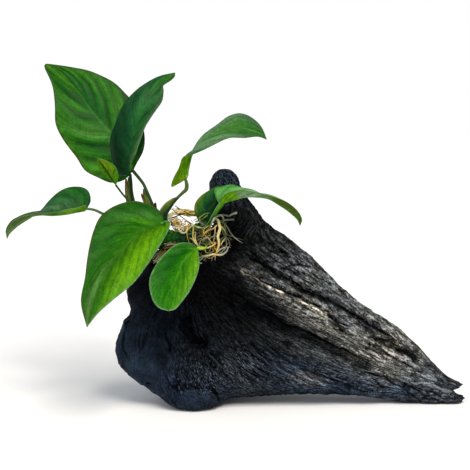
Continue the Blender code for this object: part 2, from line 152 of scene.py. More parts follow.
def add_node(tree, kind, inputs=None, **settings):
    """Adds a shader node with its settings and its links."""
    node = tree.nodes.new("ShaderNode" + kind)
    for key, value in settings.items():
        setattr(node, key, value)
    feed(tree, node, inputs or {})
    return node


def new_finish(name, **sockets):
    """A new material: its node tree and its shader, with the shader's own sockets set."""
    made = bpy.data.materials.new(name)
    made.use_nodes = True
    tree = made.node_tree
    shader = tree.nodes["Principled BSDF"]
    feed(tree, shader, {key.replace("_", " "): value for key, value in sockets.items()})
    return made, tree, shader


# %% [markdown]
# ## Floor, light and camera
#
# The object stands on a plain pale floor in soft studio light: a large lamp overhead and a little to the
# right, a cooler one from the left, and a pale room all round that fills the shadows. The camera looks a
# little down on it, as a person does who stands in front of the table.

# %% A pale floor
FLOOR_HALF = 3.0  # metres
FLOOR_DROP = 0.0003  # how far it lies under the wood, so that the two don't touch


def add_object(name, data):
    """A new object in the scene."""
    made = bpy.data.objects.new(name, data)
    bpy.context.scene.collection.objects.link(made)
    return made


# plain paper, matt and almost white
paper = new_finish("matt_white_paper", Roughness=0.9, Base_Color=(*linear("#fbfaf8"), 1))[0]
floor_mesh = bpy.data.meshes.new("floor")
floor_mesh.from_pydata([(x * FLOOR_HALF, y * FLOOR_HALF, -FLOOR_DROP) for x, y in
                        ((-1, -1), (1, -1), (1, 1), (-1, 1))], [], [(0, 1, 2, 3)])
floor_mesh.materials.append(paper)
floor = add_object("floor", floor_mesh)
print("floor", 2 * FLOOR_HALF, "m wide")

# %% Two soft suns and a pale room
SUNS = [
    # name, degrees to the right of the camera, degrees up, strength, width in degrees, colour
    ("key", 22, 56, 2.7, 30, "#fffaf2"),
    ("fill", -50, 40, 0.7, 60, "#eaf0ff"),
]
ROOM_LIGHT = 0.42
ROOM_SEEN = 1.0

for name, right, up, strength, width, shade in SUNS:
    light = bpy.data.lights.new(name, "SUN")
    light.energy = strength
    light.angle = math.radians(width)
    light.color = linear(shade)
    add_object(name, light).rotation_euler = (math.radians(90 - up), 0, math.radians(right))

room = bpy.data.worlds.new("pale_room")
room.use_nodes = True
bpy.context.scene.world = room
tree = room.node_tree
tree.nodes.clear()
lit = add_node(tree, "Background", {"Color": (*linear("#f1f4fa"), 1), "Strength": ROOM_LIGHT})
shown = add_node(tree, "Background", {"Color": (1, 1, 1, 1), "Strength": ROOM_SEEN})
straight = add_node(tree, "LightPath").outputs["Is Camera Ray"]
both = add_node(tree, "MixShader", {0: straight, 1: lit, 2: shown})
add_node(tree, "OutputWorld", {"Surface": both})
bpy.context.scene.view_settings.view_transform = "Standard"
print("suns:", ", ".join(sun[0] for sun in SUNS))

# %% The camera, 8 degrees above the horizon
VIEW_HALF = 0.1645  # half of the width that the picture takes in, in metres
VIEW_FAR = 0.850  # from the camera to the object
VIEW_HEIGHT = 0.1183  # of the point that it looks at
VIEW_DOWN = math.radians(8)

lens = bpy.data.cameras.new("camera")
lens.sensor_width = 36
lens.lens = lens.sensor_width / 2 / (VIEW_HALF / VIEW_FAR)
camera = add_object("camera", lens)
camera.location = (-MIDDLE[0] * MM, -MIDDLE[1] * MM - VIEW_FAR * math.cos(VIEW_DOWN),
                   VIEW_HEIGHT + VIEW_FAR * math.sin(VIEW_DOWN))
camera.rotation_euler = (math.pi / 2 - VIEW_DOWN, 0, 0)
bpy.context.scene.camera = camera
print("lens", round(lens.lens, 1), "mm")


# %% A way to add a piece
def add_piece(name, points, faces, finish, slot, replaced, **values):
    """Adds a mesh, made in millimetres, in place of solids, with named values kept at its points."""
    mesh = bpy.data.meshes.new(name)
    mesh.from_pydata(((np.asarray(points) - MIDDLE) * MM).tolist(), [], faces)
    for key, numbers in values.items():
        numbers = np.asarray(numbers, float)
        kind, field = ("FLOAT", "value") if numbers.ndim == 1 else ("FLOAT_VECTOR", "vector")
        mesh.attributes.new(key, kind, "POINT").data.foreach_set(field, numbers.ravel())
    mesh.shade_smooth()
    mesh.materials.append(finish)
    piece = add_object(name, mesh)
    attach(piece, "root")
    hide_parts(*replaced)
    print(name, "has", sum(len(f) - 2 for f in faces), "triangles")
    return piece


# %% [markdown]
# ## The driftwood
#
# Bogwood is the heart of a root that lay in peat. Its soft wood has rotted out between the harder year
# rings, which leaves long ledges and hollows that run with the grain, cut by cracks where it has dried
# and chipped. It could be sculpted by hand. Here the plain solid is made into an even skin of small
# quads, and each point of that skin moves in or out by a height worked out in the grain's own
# directions, so that every ledge and fibre follows the sweep from the neck into the pointed root.

# %% An even skin over the plain solid
SKIN_VOXEL = 3.8  # the size of its quads at first
SKIN_FINER = 2  # times that each quad is cut in four


def even_skin(node):
    """(points, faces, normals) of a fine even skin over a solid, in millimetres."""
    copy = add_object("skin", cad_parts[node].data.copy())
    remesh = copy.modifiers.new("remesh", "REMESH")
    remesh.mode, remesh.voxel_size = "VOXEL", SKIN_VOXEL * MM
    soften = copy.modifiers.new("soften", "SMOOTH")
    soften.factor, soften.iterations = 0.6, 4
    copy.modifiers.new("finer", "SUBSURF").levels = SKIN_FINER
    bpy.context.view_layer.update()
    mesh = bpy.data.meshes.new_from_object(copy.evaluated_get(bpy.context.evaluated_depsgraph_get()))
    bpy.data.objects.remove(copy)
    points = np.empty(len(mesh.vertices) * 3)
    mesh.vertices.foreach_get("co", points)
    normals = np.empty(len(mesh.vertices) * 3)
    mesh.vertex_normals.foreach_get("vector", normals)
    corners = np.empty(len(mesh.loops), int)
    mesh.loops.foreach_get("vertex_index", corners)
    return points.reshape(-1, 3) / MM + MIDDLE, corners.reshape(-1, 4), normals.reshape(-1, 3)


skin, skin_faces, skin_out = even_skin("driftwood")
print("skin:", len(skin), "points")

# %% The directions of the grain
NECK_APEX = (-20, 176)  # where the lines of the neck would meet, as (x, z)
LOW_APEX = (-30, 104)  # and those of the foot
ROOT_TIP = (168, 3)  # and those of the pointed root
RIDGE_ANGLE, FOOT_ANGLE, LOW_ANGLE = math.radians(42), math.radians(96), math.radians(27)
GRAIN_SPAN = 130  # the grain's own measure from the ridge to the foot
PER_ANGLE = GRAIN_SPAN / RIDGE_ANGLE
LOW_TURN, LOW_PULL = 0.7, 0.6  # how much the foot's lines turn the grain, and shorten the way along it
LOW_SOFT, LOW_NEAR = 0.3, 6  # the angle over which they set in, and the nearest to their apex that counts
NECK_FROM, NECK_TO = 116, 142  # heights between which the grain turns up into the neck


def grain(points):
    """(across, along) the grain, in millimetres, and the true size there of a step across."""
    x, z = points[:, 0], points[:, 2]
    from_tip = np.stack((x - ROOT_TIP[0], z - ROOT_TIP[1]), axis=-1)
    from_low = np.stack((x - LOW_APEX[0], z - LOW_APEX[1]), axis=-1)
    reach, low_reach = length_of(from_tip), np.maximum(length_of(from_low), LOW_NEAR)
    angle = np.arctan2(from_tip[:, 1], -from_tip[:, 0])
    low_angle = np.arctan2(-from_low[:, 1], from_low[:, 0]) - LOW_ANGLE
    below = ease(low_angle, 0, LOW_SOFT)
    root = PER_ANGLE * (RIDGE_ANGLE - angle + LOW_TURN * np.maximum(low_angle, 0))
    down_root = reach - LOW_PULL * ease(low_angle, 0, 1) * low_reach
    turn = from_tip / reach[:, None] ** 2 + LOW_TURN * (below / low_reach**2)[:, None] * from_low
    root_step = 1 / (PER_ANGLE * length_of(turn))
    neck_angle = np.arctan2(NECK_APEX[1] - z, x - NECK_APEX[0])
    neck = (neck_angle - RIDGE_ANGLE) / (FOOT_ANGLE - RIDGE_ANGLE) * GRAIN_SPAN
    neck_step = np.hypot(x - NECK_APEX[0], z - NECK_APEX[1]) * (FOOT_ANGLE - RIDGE_ANGLE) / GRAIN_SPAN
    up = ease(z, NECK_FROM, NECK_TO)
    return root + (neck - root) * up, down_root, root_step + (neck_step - root_step) * up


skin_across, skin_along, skin_step = grain(skin)
in_grain = np.stack((skin_across, skin[:, 1], skin_along), axis=-1)
print("a step across the grain is", skin_step.min().round(2), "to", skin_step.max().round(2), "mm")

# %% [markdown]
# ### Marks that the eye finds
#
# Someone who knows this piece of wood knows it by its long cracks, the lit edges beside them and its
# wide hollows. Noise alone can't put them in their places, so they are drawn as lines on the wood's front,
# and a little noise makes them stray. The cracks and hollows are painted darker, as painted shade, and the
# edges paler, as painted highlights. The smaller ledges, clefts and fibres come from noise in the grain.

# %% Marks drawn on the front of the wood
# cracks, painted darker inside as painted shade: width and depth, then x and z of the points
CRACKS = rows("""
    2.6 2: 14 104, 21 99, 26 96, 32 92, 38 90, 43 85, 49 81, 55 79, 60 76, 67 74, 73 70, 79 67, 85 63,
      92 59, 100 55, 107 52;
    2.2 1.8: 63 67, 67 64, 72 60, 79 57;
    1.3 1.2: 6 96, 16 91, 27 86, 35 82, 44 78, 52 73, 59 71;
    1.2 1: 69 55, 73 54, 79 51;
    1.1 0.8: 32 98, 38 96, 45 92, 51 88, 54 86;
    1.3 1: 35 98, 38 100, 42 100, 48 100, 52 99;
    1.2 0.8: 52 95, 59 91, 65 88, 68 85;
    1.2 0.8: 73 83, 77 80;
    3.2 1.6: 25 115, 29 111, 35 108;
    3 1.4: 16 121, 22 115;
    2 1: 8 73, 16 69, 22 67, 28 63, 35 58, 41 56, 48 54, 56 50, 63 46, 70 42, 78 39, 85 36;
    2.6 1.4: 35 46, 38 45;
    1.5 1: -48 52, -46 47, -45 41;
    2 1.6: -16 14, -12 11, -11 6;
    2.2 1.4: -60.5 17, -59.5 17;
    1.2 0.8: -74 61, -76 59, -77 53, -78 46, -77 41, -75 36;
    1.3 1: 99 54, 104 52, 109 50, 112 47;
    1.2 0.9: 93 50, 100 48, 103 48, 109 46, 114 43;
    1.2 0.9: 93 42, 98 39, 103 37, 109 35;
    1.2 0.8: 117 31, 122 29, 125 27;
    2.4 1.2: 125 23, 126 23;
    1.2 0.9: 94 24, 98 22, 105 20, 109 17, 116 13;
    1.1 0.8: 97 20, 103 15, 106 13;
    1.1 0.8: 118 16, 118 13;
    1.1 0.8: 118 15, 124 13, 129 10, 133 7;
    1.1 0.8: 119 11, 124 8, 127 5, 131 2;
    1.1 0.8: 134 10, 141 9, 145 7;
    1.1 0.8: 132 5, 141 4, 147 2, 155 1""")
# edges which stand out, painted paler where they catch the light, as painted highlights
LIT_EDGES = rows("""
    0.9 -0.7: 5 96, 11 93, 18 89, 24 85, 30 82, 34 81;
    1.1 -0.7: 44 75, 48 73, 52 72, 55 70, 59 68, 64 64;
    1.2 -0.5: 30 97, 37 94, 44 90, 50 86;
    1.1 -0.5: 62 72, 70 68, 78 64, 86 60;
    1.1 -0.5: 36 74, 46 69, 56 63, 66 57, 76 52;
    1.1 -0.4: -34 53, -32 46, -31 39, -30 32;
    1.1 -0.4: -2 57, 5 50, 11 41, 15 33, 16 29;
    2.4 -0.6: -76 61, -78 55, -79 48, -77 42;
    1.1 -0.5: 126 20, 131 18, 138 15, 143 13, 150 10, 156 8""")
# wide hollows: width, depth and how much painted shade darkens them, then the points
HOLLOWS = rows("""
    6 1.6 0.25: 14 104, 32 92, 49 81, 67 74, 85 63, 100 55;
    7 1.6 0.5: 8 71, 22 64, 35 55, 48 50, 63 43, 78 35, 92 29;
    5 3.5 1: -33 62, -33 57, -31 52, -28 47, -22 46;
    4 1 0.6: -42 16, -35 15, -30 17, -24 16;
    4 2.6 1: 114 40, 120 38, 125 35, 126 33;
    5 1.4 0.7: 93 55, 101 48, 109 43""")
# places that stand out or lie in: x, z, reach and height
SWELLS = table("-70 80 9 4.5, -60 98 7 4, -74 66 5 -2.5, 24 131 17 -2.6, -12 162 9 0.8")


def near_path(points, path):
    """How far points are from a path, how far above it, and the share of the path they are at."""
    x, z = points[:, 0], points[:, 2]
    nearest = np.full(len(x), 1e9)
    above, share = np.zeros(len(x)), np.zeros(len(x))
    for k, ((ax, az), (bx, bz)) in enumerate(zip(path, path[1:])):
        dx, dz = bx - ax, bz - az
        t = np.clip(((x - ax) * dx + (z - az) * dz) / (dx * dx + dz * dz), 0, 1)
        off_x, off_z = x - ax - dx * t, z - az - dz * t
        away = np.hypot(off_x, off_z)
        closer = away < nearest
        nearest = np.where(closer, away, nearest)
        above = np.where(closer, (dx * off_z - dz * off_x) / math.hypot(dx, dz), above)
        share = np.where(closer, (k + t) / (len(path) - 1), share)
    return nearest, above, share


print(len(CRACKS), "cracks,", len(LIT_EDGES), "edges and", len(HOLLOWS), "hollows")

# %% Heights of the ledges, cracks and fibres
LEDGE, THIN_LEDGE = 12, 5  # widths across the grain
CLEFT = 0.16  # the height of the hills in the noise that lies inside a cleft
CHUNK_STEPS = 2.6  # steps of the char's blocks for each unit of height


def saw(turns):
    """A ledge for each whole turn: a sharp rise, then a slow fall, from 0.5 to -0.5."""
    part = turns - np.floor(turns)
    return np.minimum(1 - part, part * 9) - 0.5


def crests(points, sizes, seed):
    """Sharp crests with round dips between them, from -1 to 1."""
    return 1 - 2 * np.minimum(np.abs(hills(points, sizes, seed)) * 1.6, 1)

def spot(x, z, reach_x, reach_z):
    """A soft round place on the wood, from 1 in its middle to 0 outside."""
    return bell(np.hypot((skin[:, 0] - x) / reach_x, (skin[:, 2] - z) / reach_z), 1)


toe = spot(-26, 5, 22, 11)
lobe = np.maximum(ease(-skin[:, 0], 32, 56) * ease(-skin[:, 2], -108, -76), toe)
front = np.clip(0.5 - skin_out[:, 1] * 1.6, 0, 1)
fine_room = ease(skin_step, 0.12, 0.45)

warp = hills(in_grain, (26, 26, 60), 1)
jag = hills(in_grain, (3.0, 5, 8), 13)
ledge_here = ease(hills(in_grain, (34, 30, 55), 2), -0.35, 0.25)
ledges = ledge_here * saw(skin_across / LEDGE + 0.9 * warp + 0.12 * jag)
thin_here = ease(hills(in_grain, (16, 20, 40), 14), -0.4, 0.1)
thin_ledges = thin_here * saw(skin_across / THIN_LEDGE + 1.3 * warp + 0.25 * jag)

cut = hills(in_grain, (7, 12, 62), 3)
crack_here = ease(hills(in_grain, (30, 30, 40), 4), -0.2, 0.3)
clefts = crack_here * np.clip(1 - np.abs(cut) / CLEFT, 0, 1) * (1 - toe)

chunk_size = hills(in_grain, (5.5, 8, 11), 5) * CHUNK_STEPS
chunks = (np.floor(chunk_size) + ease(chunk_size - np.floor(chunk_size), 0.3, 0.55)) / CHUNK_STEPS

strands = crests(in_grain, (4.4, 9, 40), 6)
fibres = crests(in_grain, (2.4, 5, 18), 7)
lumps = hills(skin, (13, 13, 13), 8)
knobs = hills(skin, (4.5, 4.5, 4.5), 9)
grit = hills(skin, (1.9, 1.9, 1.9), 10)

# each height is in millimetres, and fibres fade where the grain's lines draw together
out_grained = (1.4 * ledges + 1.0 * thin_ledges - 1.6 * clefts + 0.45 * chunks
               + fine_room * (0.6 * strands + 0.5 * fibres) + 0.3 * grit) * (0.3 + 0.7 * fine_room)
out_grained *= 1 - 0.6 * ease(np.abs(skin_out[:, 2]), 0.35, 0.8)
out_lobe = 0.9 * lumps + 0.45 * knobs + 0.3 * grit + 0.35 * chunks - 0.4 * clefts + 0.2 * strands
out = out_grained * (1 - lobe) + out_lobe * lobe
print("noise moves the skin by", out.min().round(1), "to", out.max().round(1), "mm")

# %% Heights of the drawn marks
FRONT_Y = -20  # the marks lie on an upright plane here, and reach the skin along a line 8 degrees off level
MARK_FALL = math.tan(math.radians(8))
MARK_STRAY = (0.9, 0, 0.9)
MARK_FAR = 9.0  # a place this many half-widths from every mark is clear of them
MARK_SOFT = 0.9  # the least half-width that the skin's points can follow

drawn_at = skin + (0, 0, 1) * ((skin[:, 1] - FRONT_Y) * MARK_FALL)[:, None]
stray = np.stack((hills(skin, (7, 7, 7), 11), np.zeros(len(skin)), hills(skin, (5, 5, 5), 12)), axis=-1)
loose = drawn_at + stray * MARK_STRAY
marks = {}
for key, strokes in (("crack_at", CRACKS), ("edge_at", LIT_EDGES)):
    marks[key] = np.tile((MARK_FAR, MARK_FAR, 0), (len(skin), 1))
    for [(width, depth)], path in strokes:
        away, above, share = near_path(loose, path)
        half = width / 2 * (0.5 + 0.5 * np.sin(math.pi * np.clip(share, 0.04, 0.96)))
        out -= depth * front * bell(away, max(width / 2, MARK_SOFT))
        nearer = (away / half < marks[key][:, 1]) & (front > 0.1)
        marks[key][nearer, :2] = np.stack((above / half, away / half), axis=-1)[nearer]
# dark is the painted shade of the wide hollows
dark = np.zeros(len(skin))
for [(width, depth, darker)], path in HOLLOWS:
    away = near_path(loose, path)[0]
    out -= depth * front * bell(away, width / 2)
    dark = np.maximum(dark, darker * front * bell(away, width / 2))
for x, z, reach, height in SWELLS:
    out += height * bell(np.hypot(skin[:, 0] - x, skin[:, 2] - z), reach)
print("all of it moves the skin by", out.min().round(1), "to", out.max().round(1), "mm")

# %% The split tip and the floor
TIP_FROM, TIP_TO = 148, 164  # where along x the split sets in
TIP_LIFT, TIP_OUT, TIP_BACK = 2.6, 6.0, 2.5  # how far the upper half rises and reaches, and all draws back
NOTCH_HEIGHT, NOTCH_DEPTH, NOTCH_HALF = 7.2, 6.0, 1.8
TIP_FRAY = 1.8

shaped = skin + skin_out * out[:, None]
at_tip = ease(skin[:, 0], TIP_FROM, TIP_TO)
shaped[:, 2] += TIP_LIFT * at_tip * ease(skin[:, 2], 5.5, 8.5)
shaped[:, 0] += at_tip * (TIP_OUT * ease(skin[:, 2], 8, 10.5)
                          - NOTCH_DEPTH * bell(skin[:, 2] - NOTCH_HEIGHT, NOTCH_HALF) - TIP_BACK)
shaped[:, 0] += TIP_FRAY * at_tip * hills(skin, (40, 2.2, 1.6), 12)
shaped[:, 2] = np.maximum(shaped[:, 2], 0)
shaped = np.clip(shaped, np.array(solid_box[0]) / MM + MIDDLE, np.array(solid_box[1]) / MM + MIDDLE)
print("tip at", skin[skin[:, 0].argmax()].round(1), "then", shaped[shaped[:, 0].argmax()].round(1))

# %% [markdown]
# ### Its finish
#
# Waterlogged bogwood is black to slate grey and only a little shiny. Its crests are painted paler, as
# painted light, and its cracks, clefts and hollows are painted darker, as painted shade. It is painted
# blackest under the plant, as painted shade, greyer over the ridge and the right wing, as painted light
# where the key lamp falls, and bluer low down, as painted reflected light. A tan is painted along two lit
# edges as a highlight, and pale glints are painted into its blocky parts. The left lobe is smoother and
# looks bluish. An image of wood could be wrapped round it, but would stretch. Noise that runs in the
# grain's directions doesn't. Where the grain draws together, the noise is made wider in two steps, so that
# the fibres stay wide enough to be seen.

# %% Where the wood is black, slate, grey or tan, with painted light and shade
SHADES = {key: linear(shade) for key, shade in table("""
    char #040405, soot #0e1114, slate #1d2835, blue_slate #2c3b50, grey #64686a, dry_grey #7f8592,
    warm_grey #7a7770, navy #0b0f1c, tan #c4b6a0, glint #a4aeb2""")}


def mix(colours, shade, share):
    """Blends colours towards a shade by a share at each point."""
    return colours + (SHADES[shade] - colours) * np.clip(share, 0, 1)[..., None]


# The char patches, blackest under the plant and its leaves, are painted shade. The grey, warm grey and dry
# grey ones, mostly over the ridge and the right wing, are painted light where the key lamp falls, and the
# blue slate ones low down near the floor are painted reflected light.
# shade, x and z of its middle, reach in each, turn of its long axis in degrees, strength
WOOD_PATCHES = table("""
    slate -62 45 30 50 0 0.9, blue_slate -28 12 34 14 0 0.55, grey 60 74 62 17 -38 0.85,
    grey 66 90 40 9 -42 0.3, grey 40 100 20 9 -42 0.3, warm_grey 60 62 40 9 -33 0.62,
    grey 100 44 30 20 -35 0.9, dry_grey 134 16 34 16 -30 0.22, warm_grey 104 39 20 15 0 1,
    grey 22 88 20 8 -28 0.6, blue_slate 118 12 8 5 0 0.7, blue_slate 60 18 56 13 -12 0.75,
    grey 60 34 44 8 -30 0.15, grey 10 24 26 16 0 0.18, warm_grey 52 20 14 5 -10 0.4,
    blue_slate -6 158 12 14 0 0.4, char -2 116 28 24 0 1, char -8 80 34 22 -20 0.9, char -40 84 28 20 0 0.9,
    char -62 80 16 16 0 0.9, char -28 44 16 20 0 0.8, char -50 50 8 30 0 0.5""")
HUE_SHIFT = (0.04, 0.03, -0.05)  # how the greys turn a little green here and blue there
# the first two lit edges, which get a tan painted on them as a highlight
TAN_HIGHLIGHT_EDGES = LIT_EDGES[:2]

tint = np.ones((len(skin), 3)) * SHADES["soot"]
for shade, x, z, reach_x, reach_z, turn, strength in WOOD_PATCHES:
    c, s = math.cos(math.radians(turn)), math.sin(math.radians(turn))
    dx, dz = drawn_at[:, 0] - x, drawn_at[:, 2] - z
    away = np.hypot((dx * c + dz * s) / reach_x, (dz * c - dx * s) / reach_z)
    tint = mix(tint, shade, strength * bell(away, 1))
tint *= 1 + (1 - lobe[:, None]) * (0.4 + hills(skin, (15, 12, 9), 21)[:, None]) * HUE_SHIFT
# painted shade, blue-black, in the wide hollows
tint = mix(tint, "navy", 0.8 * dark)
# a painted tan highlight along those edges
for _, path in TAN_HIGHLIGHT_EDGES:
    tint = mix(tint, "tan", 0.45 * front * bell(near_path(loose, path)[0], MARK_SOFT))
# painted shade in the clefts and hollows, and painted light on the crests, which grows with the relief's
# height
crevice = np.clip(0.9 * clefts + dark, 0, 1)
crest = np.clip(0.5 + 0.3 * out, 0, 1)
# where the surface has cracked into blocks, like char, and where painted glints are strewn: above the toe,
# on the foot and on top of the knob
blocky = np.maximum(spot(-18, 24, 17, 13), spot(7, 34, 12, 12)) * (1 - 0.7 * toe)
blocky = np.maximum(blocky, ease(skin[:, 2], 148, 156))
print("the wood's mean colour is", tint.mean(axis=0).round(3))

# %% The bogwood material
FIBRE = (1.7, 2.5, 5.0)  # width, depth and length of a fibre in millimetres, coarse enough to show
STRAND = (2.4, 5.0, 15.0)  # and of a bundle of them
SPLIT = (2.2, 6.0, 13.0)  # spacing of the hair cracks
CHAR_BLOCK = (2.6, 4.0, 3.4)  # blocks between the fine cross cracks
FLECK = (1.2, 1.6, 2.4)
GRIT, PATCH = 1.25, 9.0
BUMP = 1.6  # how deep the light takes the fibres to be
# how much wider the grain is made, and between which true sizes of a step across it that one fades in
ROOMS = [(1.0, 0.5, 0.75), (2.4, 0.22, 0.4), (6.0, 0.0, 0.01)]

# wet and nearly black, with hardly any shine
bogwood, tree, shader = new_finish("waterlogged_bogwood", IOR=1.45, Roughness=0.62, Specular_IOR_Level=0.04)
flow = add_node(tree, "Attribute", attribute_name="flow").outputs["Vector"]
ground = add_node(tree, "Attribute", attribute_name="tint").outputs["Vector"]
of_wood = {key: add_node(tree, "Attribute", attribute_name=key).outputs["Fac"]
           for key in ("crevice", "crest", "lobe", "step", "blocky")}
place = add_node(tree, "TexCoord").outputs["Object"]


def weigh(tree, parts, start=0.0):
    """Adds up sockets, each times its weight."""
    total = start
    for socket, weight in parts:
        total = add_node(tree, "Math", {0: socket, 1: weight, 2: total}, operation="MULTIPLY_ADD")
    return total


# %% Its fibres, hair cracks, grit and blocks
layers = {}
for key, sizes, detail in (("fibre", FIBRE, 1.0), ("strand", STRAND, 2.0), ("split", SPLIT, 1.0)):
    for wider, room_from, room_to in reversed(ROOMS):
        at = add_node(tree, "VectorMath", {0: flow, 1: (sizes[0] * wider, *sizes[1:])}, operation="DIVIDE")
        found = add_node(tree, "TexNoise", {"Vector": at, "Scale": 1.0, "Detail": detail})
        if key in layers:
            room = add_node(tree, "MapRange", {0: of_wood["step"], 1: room_from, 2: room_to})
            found = add_node(tree, "Mix", {0: room, 2: layers[key], 3: found})
        layers[key] = found
at = add_node(tree, "VectorMath", {0: flow, 1: FLECK}, operation="DIVIDE")
layers["fleck"] = add_node(tree, "TexNoise", {"Vector": at, "Scale": 1.0, "Detail": 1.0})
for key, size in (("grit", GRIT), ("patch", PATCH)):
    layers[key] = add_node(tree, "TexNoise", {"Vector": place, "Scale": 1 / (size * MM), "Detail": 1.0})
at = add_node(tree, "VectorMath", {0: flow, 1: CHAR_BLOCK}, operation="DIVIDE")
blocks = add_node(tree, "TexVoronoi", {"Vector": at, "Scale": 1.0}, feature="DISTANCE_TO_EDGE")
gap = add_node(tree, "MapRange", {0: blocks.outputs["Distance"], 1: 0.02, 2: 0.14, 3: 1.0, 4: 0.0})
cracked = weigh(tree, [(of_wood["blocky"], 0.8)], 0.25)
gap = add_node(tree, "Math", {0: gap, 1: cracked}, operation="MULTIPLY")
middle = add_node(tree, "Math", {0: layers["split"], 1: 0.5}, operation="SUBTRACT")
middle = add_node(tree, "Math", {0: middle}, operation="ABSOLUTE")
hair_crack = add_node(tree, "MapRange", {0: middle, 1: 0.008, 2: 0.036, 3: 1.0, 4: 0.0})

# the drawn marks: a core, whose edge the grit frays, kept near the drawn line
lines = {}
for key in marks:
    at = add_node(tree, "Attribute", attribute_name=key).outputs["Vector"]
    at = add_node(tree, "SeparateXYZ", {0: at})
    off = weigh(tree, [(layers["grit"], 2.4)], weigh(tree, [(at, 1.0)], -1.2))
    off = add_node(tree, "Math", {0: off}, operation="ABSOLUTE")
    core = add_node(tree, "MapRange", {0: off, 1: 0.5, 2: 1.5, 3: 1.0, 4: 0.0})
    near = add_node(tree, "MapRange", {0: at.outputs["Y"], 1: 1.8, 2: 3.0, 3: 1.0, 4: 0.0})
    lines[key] = add_node(tree, "Math", {0: core, 1: near}, operation="MULTIPLY")
print("layers:", ", ".join([*layers, *lines]))

# %% Its tone, its painted glints and its bump
lined = weigh(tree, [(layers["fibre"], 5.6), (layers["strand"], 2.4), (layers["grit"], 3.8),
                     (hair_crack, -1.9), (gap, -1.3)], -5.65)
sandy = weigh(tree, [(layers["grit"], 1.0), (layers["patch"], 1.0), (layers["fibre"], 0.5)], -1.35)
tone = add_node(tree, "Mix", {0: of_wood["lobe"], 2: lined, 3: sandy})
# the crests and the lit edges are painted lighter, as painted light, and the clefts, hollows and cracks
# darker, as painted shade
tone = weigh(tree, [(tone, 1.0), (layers["patch"], 1.2), (of_wood["crest"], 0.9), (of_wood["crevice"], -2.0),
                    (lines["crack_at"], -1.8), (lines["edge_at"], 0.7)], -1.0)
tone = add_node(tree, "Math", {0: tone}, operation="EXPONENT")
# pale flecks in the blocky parts are painted glints: they brighten the tone and turn it towards the glint
# shade
bright = add_node(tree, "MapRange", {0: layers["fleck"], 1: 0.62, 2: 0.74, 3: 0.0, 4: 2.6})
some = weigh(tree, [(of_wood["blocky"], 1.8)], 0.5)
bright = add_node(tree, "Math", {0: bright, 1: some}, operation="MULTIPLY")
tone = add_node(tree, "Math", {0: tone, 1: bright}, operation="ADD")
tone = add_node(tree, "Math", {0: tone, 1: 4.0}, operation="MINIMUM")
colour = add_node(tree, "VectorMath", {0: ground, "Scale": tone}, operation="SCALE")
glint = add_node(tree, "MapRange", {0: layers["fleck"], 1: 0.58, 2: 0.72, 3: 0.0, 4: 0.3})
glint = add_node(tree, "Math", {0: glint, 1: of_wood["blocky"]}, operation="MULTIPLY")
colour = add_node(tree, "Mix", {0: glint, 4: colour, 5: SHADES["glint"]}, data_type="VECTOR").outputs[1]
height = weigh(tree, [(layers["fibre"], 1.0), (layers["strand"], 0.8), (layers["grit"], 0.5), (gap, -0.3),
                      (lines["crack_at"], -0.5)])
bump = add_node(tree, "Bump", {"Height": height, "Strength": 1.0, "Distance": BUMP * MM})
feed(tree, shader, {"Base Color": colour, "Normal": bump})

add_piece("bogwood", shaped, skin_faces.tolist(), bogwood, "wood", ["driftwood"], flow=in_grain,
          tint=tint, crevice=crevice, crest=crest, lobe=lobe, step=skin_step, blocky=blocky, **marks)

# %% [markdown]
# ## The leaves
#
# Each blade is a stiff, waxy sheet about half a millimetre thick, with a pale midrib and side veins
# that leave it and sweep forward to the rim. A blade could be a flat card bent by modifiers, but its
# outline and its folds differ from leaf to leaf. So each one is spread between three drawn lines, the
# midrib and the two rims, and its rows run the way the side veins run. The blade bulges a little
# between veins, dips along them, and has a raised midrib below.

